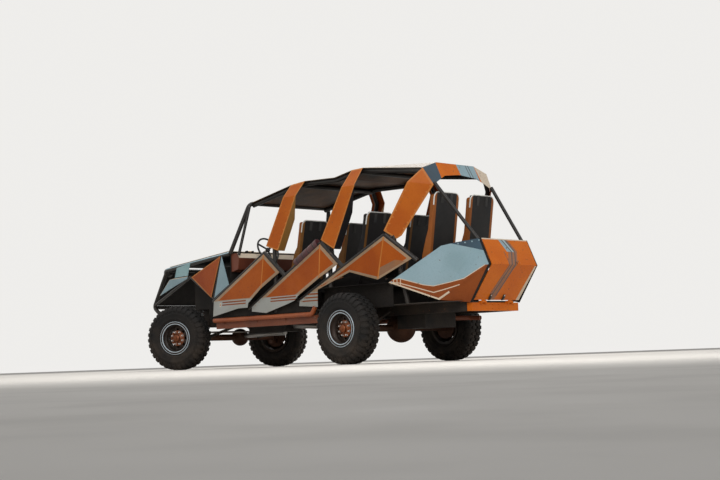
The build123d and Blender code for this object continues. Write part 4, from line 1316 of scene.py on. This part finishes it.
def makeSprings():
    made = []
    foot, wire = springs["foot"], springs["wire"]
    for x, y, top in springs["places"]:
        for side in (1, -1):
            wound = grow(coil, Turns=springs["turns"], Radius=springs["radius"], Wire=wire,
                         Height=(top - foot) / 1000 - 2 * wire, Finish="springBlue")
            wound.transform(Matrix.Translation(at(x, y * side, foot + 1000 * wire)))
            stop = upright(lathe(springs["stop"], 28))
            made += [wound, dressed(stop, "gripRubber", Matrix.Translation(at(x, y * side, foot)))]
    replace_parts(makePiece("wound_springs", together(made)), "coil_springs")


makeSprings()

lamp = {
    "back": 4028.3, "y": 490, "z": 1420, "steps": 48, "fins": 18, "finsOut": 0.044,
    "fin": ((-0.0622, -0.0035, 0), (-0.052, 0.0035, 0.030), 0.001),
    "bowl": [
        (0, 0.001), (0.030, 0.001), (0.036, 0.006), (0.052, 0.026), (0.061, 0.046), (0.0645, 0.056),
        (0.0648, 0.094), (0.0620, 0.099), (0.0565, 0.099), (0.0560, 0.090), (0.0400, 0.060), (0.0150, 0.046),
        (0, 0.044),
    ],
    "mirror": [
        (0, 0.0455), (0.0152, 0.0475), (0.0395, 0.0612), (0.0555, 0.0885), (0.0550, 0.0895), (0.0390, 0.0625),
        (0.0150, 0.0490), (0, 0.0470),
    ],
    "glass": [
        (0, 0.0905), (0.0557, 0.0905), (0.0557, 0.0935), (0.0400, 0.0960), (0.0200, 0.0972), (0, 0.0975),
    ],
}


def makeLamps():
    made = []
    for side in (1, -1):
        place = Matrix.Translation(at(lamp["back"], lamp["y"] * side, lamp["z"]))
        toFront = place @ Matrix.Rotation(-pi / 2, 4, "Z")
        for part, look in (("bowl", "lampBlack"), ("mirror", "lampMirror"), ("glass", "lensGlass")):
            made.append(dressed(lathe(lamp[part], lamp["steps"]), look, toFront))
        fins = ringOf(boxMesh(*lamp["fin"]), lamp["fins"], "lampBlack", out=lamp["finsOut"])
        made.append(dressed(fins, "lampBlack", toFront))
    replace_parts(makePiece("nose_lamps", together(made)), "spot_lamps")


makeLamps()

# Tail door: the profile of its face from top to foot, two catches with bolts, and a lock.
tailDoor = {
    "profile": ((-1740, 1450), (-1880, 1130), (-1570, 690)), "catches": (165, -92), "catchDown": 0.462,
    "lock": (-70, 1155), "lockOut": 0.002,
    "plates": (
        ((-0.035, -0.019, -0.002), (0.045, 0.019, 0.004), 0.0015),
        ((-0.012, -0.012, 0.003), (0.035, 0.012, 0.016), 0.003),
    ),
    "bolts": (-0.026, 0.036), "boltOut": 0.004,
    "barrel": [
        (0, 0), (0.017, 0), (0.017, 0.003), (0.012, 0.0045), (0.0105, 0.0045), (0.0105, 0.003), (0, 0.003),
    ],
    "slot": ((-0.008, -0.0016, 0.003), (0.008, 0.0016, 0.0042)),
}


def makeDoorHardware():
    top, fold, foot = (at(x, 0, z) for x, z in tailDoor["profile"])
    down, acrossDoor = (foot - fold).normalized(), Vector((0, 1, 0))
    turn = Matrix((down, -acrossDoor, acrossDoor.cross(down))).transposed().to_4x4()
    made = []
    for y in tailDoor["catches"]:
        place = Matrix.Translation(fold + down * tailDoor["catchDown"] + acrossDoor * (y / 1000)) @ turn
        for plate in tailDoor["plates"]:
            made.append(dressed(boxMesh(*plate), "lampBlack", place))
        for t in tailDoor["bolts"]:
            spot = place @ Matrix.Translation((t, 0.0, tailDoor["boltOut"]))
            made.append(dressed(boltModel(0.9), "brightSteel", spot))
    y, z = tailDoor["lock"]
    rise = (top - fold).normalized()
    face = Vector((-rise.z, 0, rise.x))
    up = (z / 1000 - fold.z) / rise.z
    place = Matrix.Translation(fold + rise * up + acrossDoor * (y / 1000) + face * tailDoor["lockOut"])
    place = place @ face.to_track_quat("Z", "Y").to_matrix().to_4x4()
    made.append(dressed(upright(lathe(tailDoor["barrel"], 32)), "brightSteel", place))
    made.append(dressed(boxMesh(*tailDoor["slot"]), "lampBlack", place))
    makePiece("tail_door_hardware", together(made), "rear_hatch")


makeDoorHardware()

# Dashboard dials: places across it and sizes, and marks on each face.
dials = {
    "places": ((530, 0.02736), (430, 0.038), (330, 0.02736)), "station": 2093.5, "height": 1452, "lean": -12,
    "marks": 24, "steps": 40,
    "bezel": ((0.86, 0.003), (0.9, 0.012), (1, 0.012), (1.04, 0.008), (1.04, 0), (0.86, 0)),
}


def makeDials():
    made = []
    for y, r in dials["places"]:
        ring = lathe([(r * share, high) for share, high in dials["bezel"]], dials["steps"])
        plate = lathe([(0, 0), (r * 0.9, 0), (r * 0.9, 0.004), (0, 0.004)], dials["steps"])
        mark = boxMesh((r * 0.68, -0.0009, 0.0038), (r * 0.82, 0.0009, 0.0048))
        marks = ringOf(mark, dials["marks"], "whitePiping")
        hand = boxMesh((-0.006, 0.0046, -0.0009), (r * 0.7, 0.0056, 0.0009))
        place = Matrix.Translation(at(dials["station"], y, dials["height"]))
        place = place @ Matrix.Rotation(pi / 2, 4, "Z") @ Matrix.Rotation(radians(dials["lean"]), 4, "X")
        made += [dressed(ring, "brightSteel", place), dressed(plate, "dialFace", place)]
        made += [dressed(marks, "whitePiping", place), dressed(hand, "hoopOrange", place)]
    makePiece("dash_dials", together(made))


makeDials()
print("springs, lamps, hardware and dials made")

# Rows of bolts along the sheets' edges: how far apart, how far in, and how far the head's foot stands off.
boltRows = {"spacing": 0.085, "in": 20, "hoopIn": 22, "off": 2.6, "scale": 0.85}
halves = {"body": 950, "hoop": 860, "tail": 450, "lean": 0.15, "tailFrom": -625, "tailTo": -1740}


def skinPlane(a, b, c):
    # The plane of a sheet through three (x, y, z) stations: y on it at (x, z), and its outward normal.
    p, q, r = (Vector(v) for v in (a, b, c))
    normal = (q - p).cross(r - p).normalized()
    if normal.y < 0:
        normal = -normal

    def level(x, z):
        return p.y - (normal.x * (x - p.x) + normal.z * (z - p.z)) / normal.y

    return level, normal


def leaning(tip, front, spot):
    # A corner of a side panel, further out the further it is below the line from the tip to the front.
    along = (Vector(front) - Vector(tip)).normalized()
    off = Vector(spot) - Vector(tip)
    below = abs(off.x * along.y - off.y * along.x)
    return (spot[0], halves["body"] + halves["lean"] * below, spot[1])


def narrowing(x, z):
    # A corner of a quarter panel, which draws in towards the tail.
    share = (halves["tailFrom"] - x) / (halves["tailFrom"] - halves["tailTo"])
    return (x, halves["body"] - share * (halves["body"] - halves["tail"]), z)


def rowsOn(plane, runs):
    # Rows just on a sheet's outer face, on both sides of the vehicle.
    level, normal = plane
    made = []
    for run in runs:
        spots = [Vector((x, level(x, z), z)) + normal * boltRows["off"] for x, z in run]
        for side in (1, -1):
            facing = Vector((normal.x, normal.y * side, normal.z))
            made.append(([at(p.x, p.y * side, p.z) for p in spots], facing))
    return made


def makeBolts():
    onPanels, onHoops = [], []
    for panel, last in ((panelA, (2500, 927)), (panelB, (1725, 818))):
        tip, front, foot, corner = (panel["outline"][i] for i in (0, 1, -2, -1))
        tipAt, footAt, frontAt = (leaning(tip, front, spot) for spot in (tip, foot, front))
        run = inset([tip, front, (front[0], sidePanels["sill"]), foot], boltRows["in"])
        onPanels += rowsOn(skinPlane(tipAt, footAt, frontAt), [[run[0], last]])
        run = inset([tip, foot, corner], boltRows["in"])
        plane = skinPlane(tipAt, footAt, (corner[0], halves["body"], corner[1]))
        onPanels += rowsOn(plane, [[run[0], run[2], run[1]]])
    plane = skinPlane(*((x, halves["body"], z) for x, z in ((-620, 1545), (880, 835), (-500, 1022))))
    onPanels += rowsOn(plane, [[(-590, 1508), (850, 827)], [(-28, 1168), (-470, 1048)]])
    plane = skinPlane(narrowing(-662, 975), narrowing(-1283, 1384), narrowing(-1233, 737))
    onQuarters = rowsOn(plane, [[(-700, 980), (-1290, 1362), (-1462, 1394), (-1715, 1424)]])
    for name, wide in (("front", 236), ("middle", 223)):
        belt, top, low = (hoopOutlines[name][i] for i in (0, 1, -1))
        behind = (top[0] - wide, top[1])
        plane = skinPlane((belt[0], halves["body"], belt[1]), (top[0], halves["hoop"], top[1]),
                          (behind[0], halves["hoop"], behind[1]))
        run = inset([belt, top, behind, low], boltRows["hoopIn"])
        onHoops += rowsOn(plane, [run[:2], run[2:]])
    plane = skinPlane((-625, 950, 1612), (-905, 800, 2190), (-1130, 565, 2150))
    run = inset([spot for i, spot in enumerate(hoopOutlines["rear"]) if i != 2], boltRows["hoopIn"])
    onHoops += rowsOn(plane, [run[:2], run[2:4]])
    made = []
    for runs, look in ((onPanels, "creamTrim"), (onHoops, "orangeEdge"), (onQuarters, "blueGrey")):
        head = boltModel(boltRows["scale"])
        made.append(grow(rowOfPieces, lines(runs), Piece=head, Spacing=boltRows["spacing"], Finish=look))
    makePiece("panel_rivets", together(made))


makeBolts()
print("rivets made")

scene.view_settings.view_transform = "Standard"
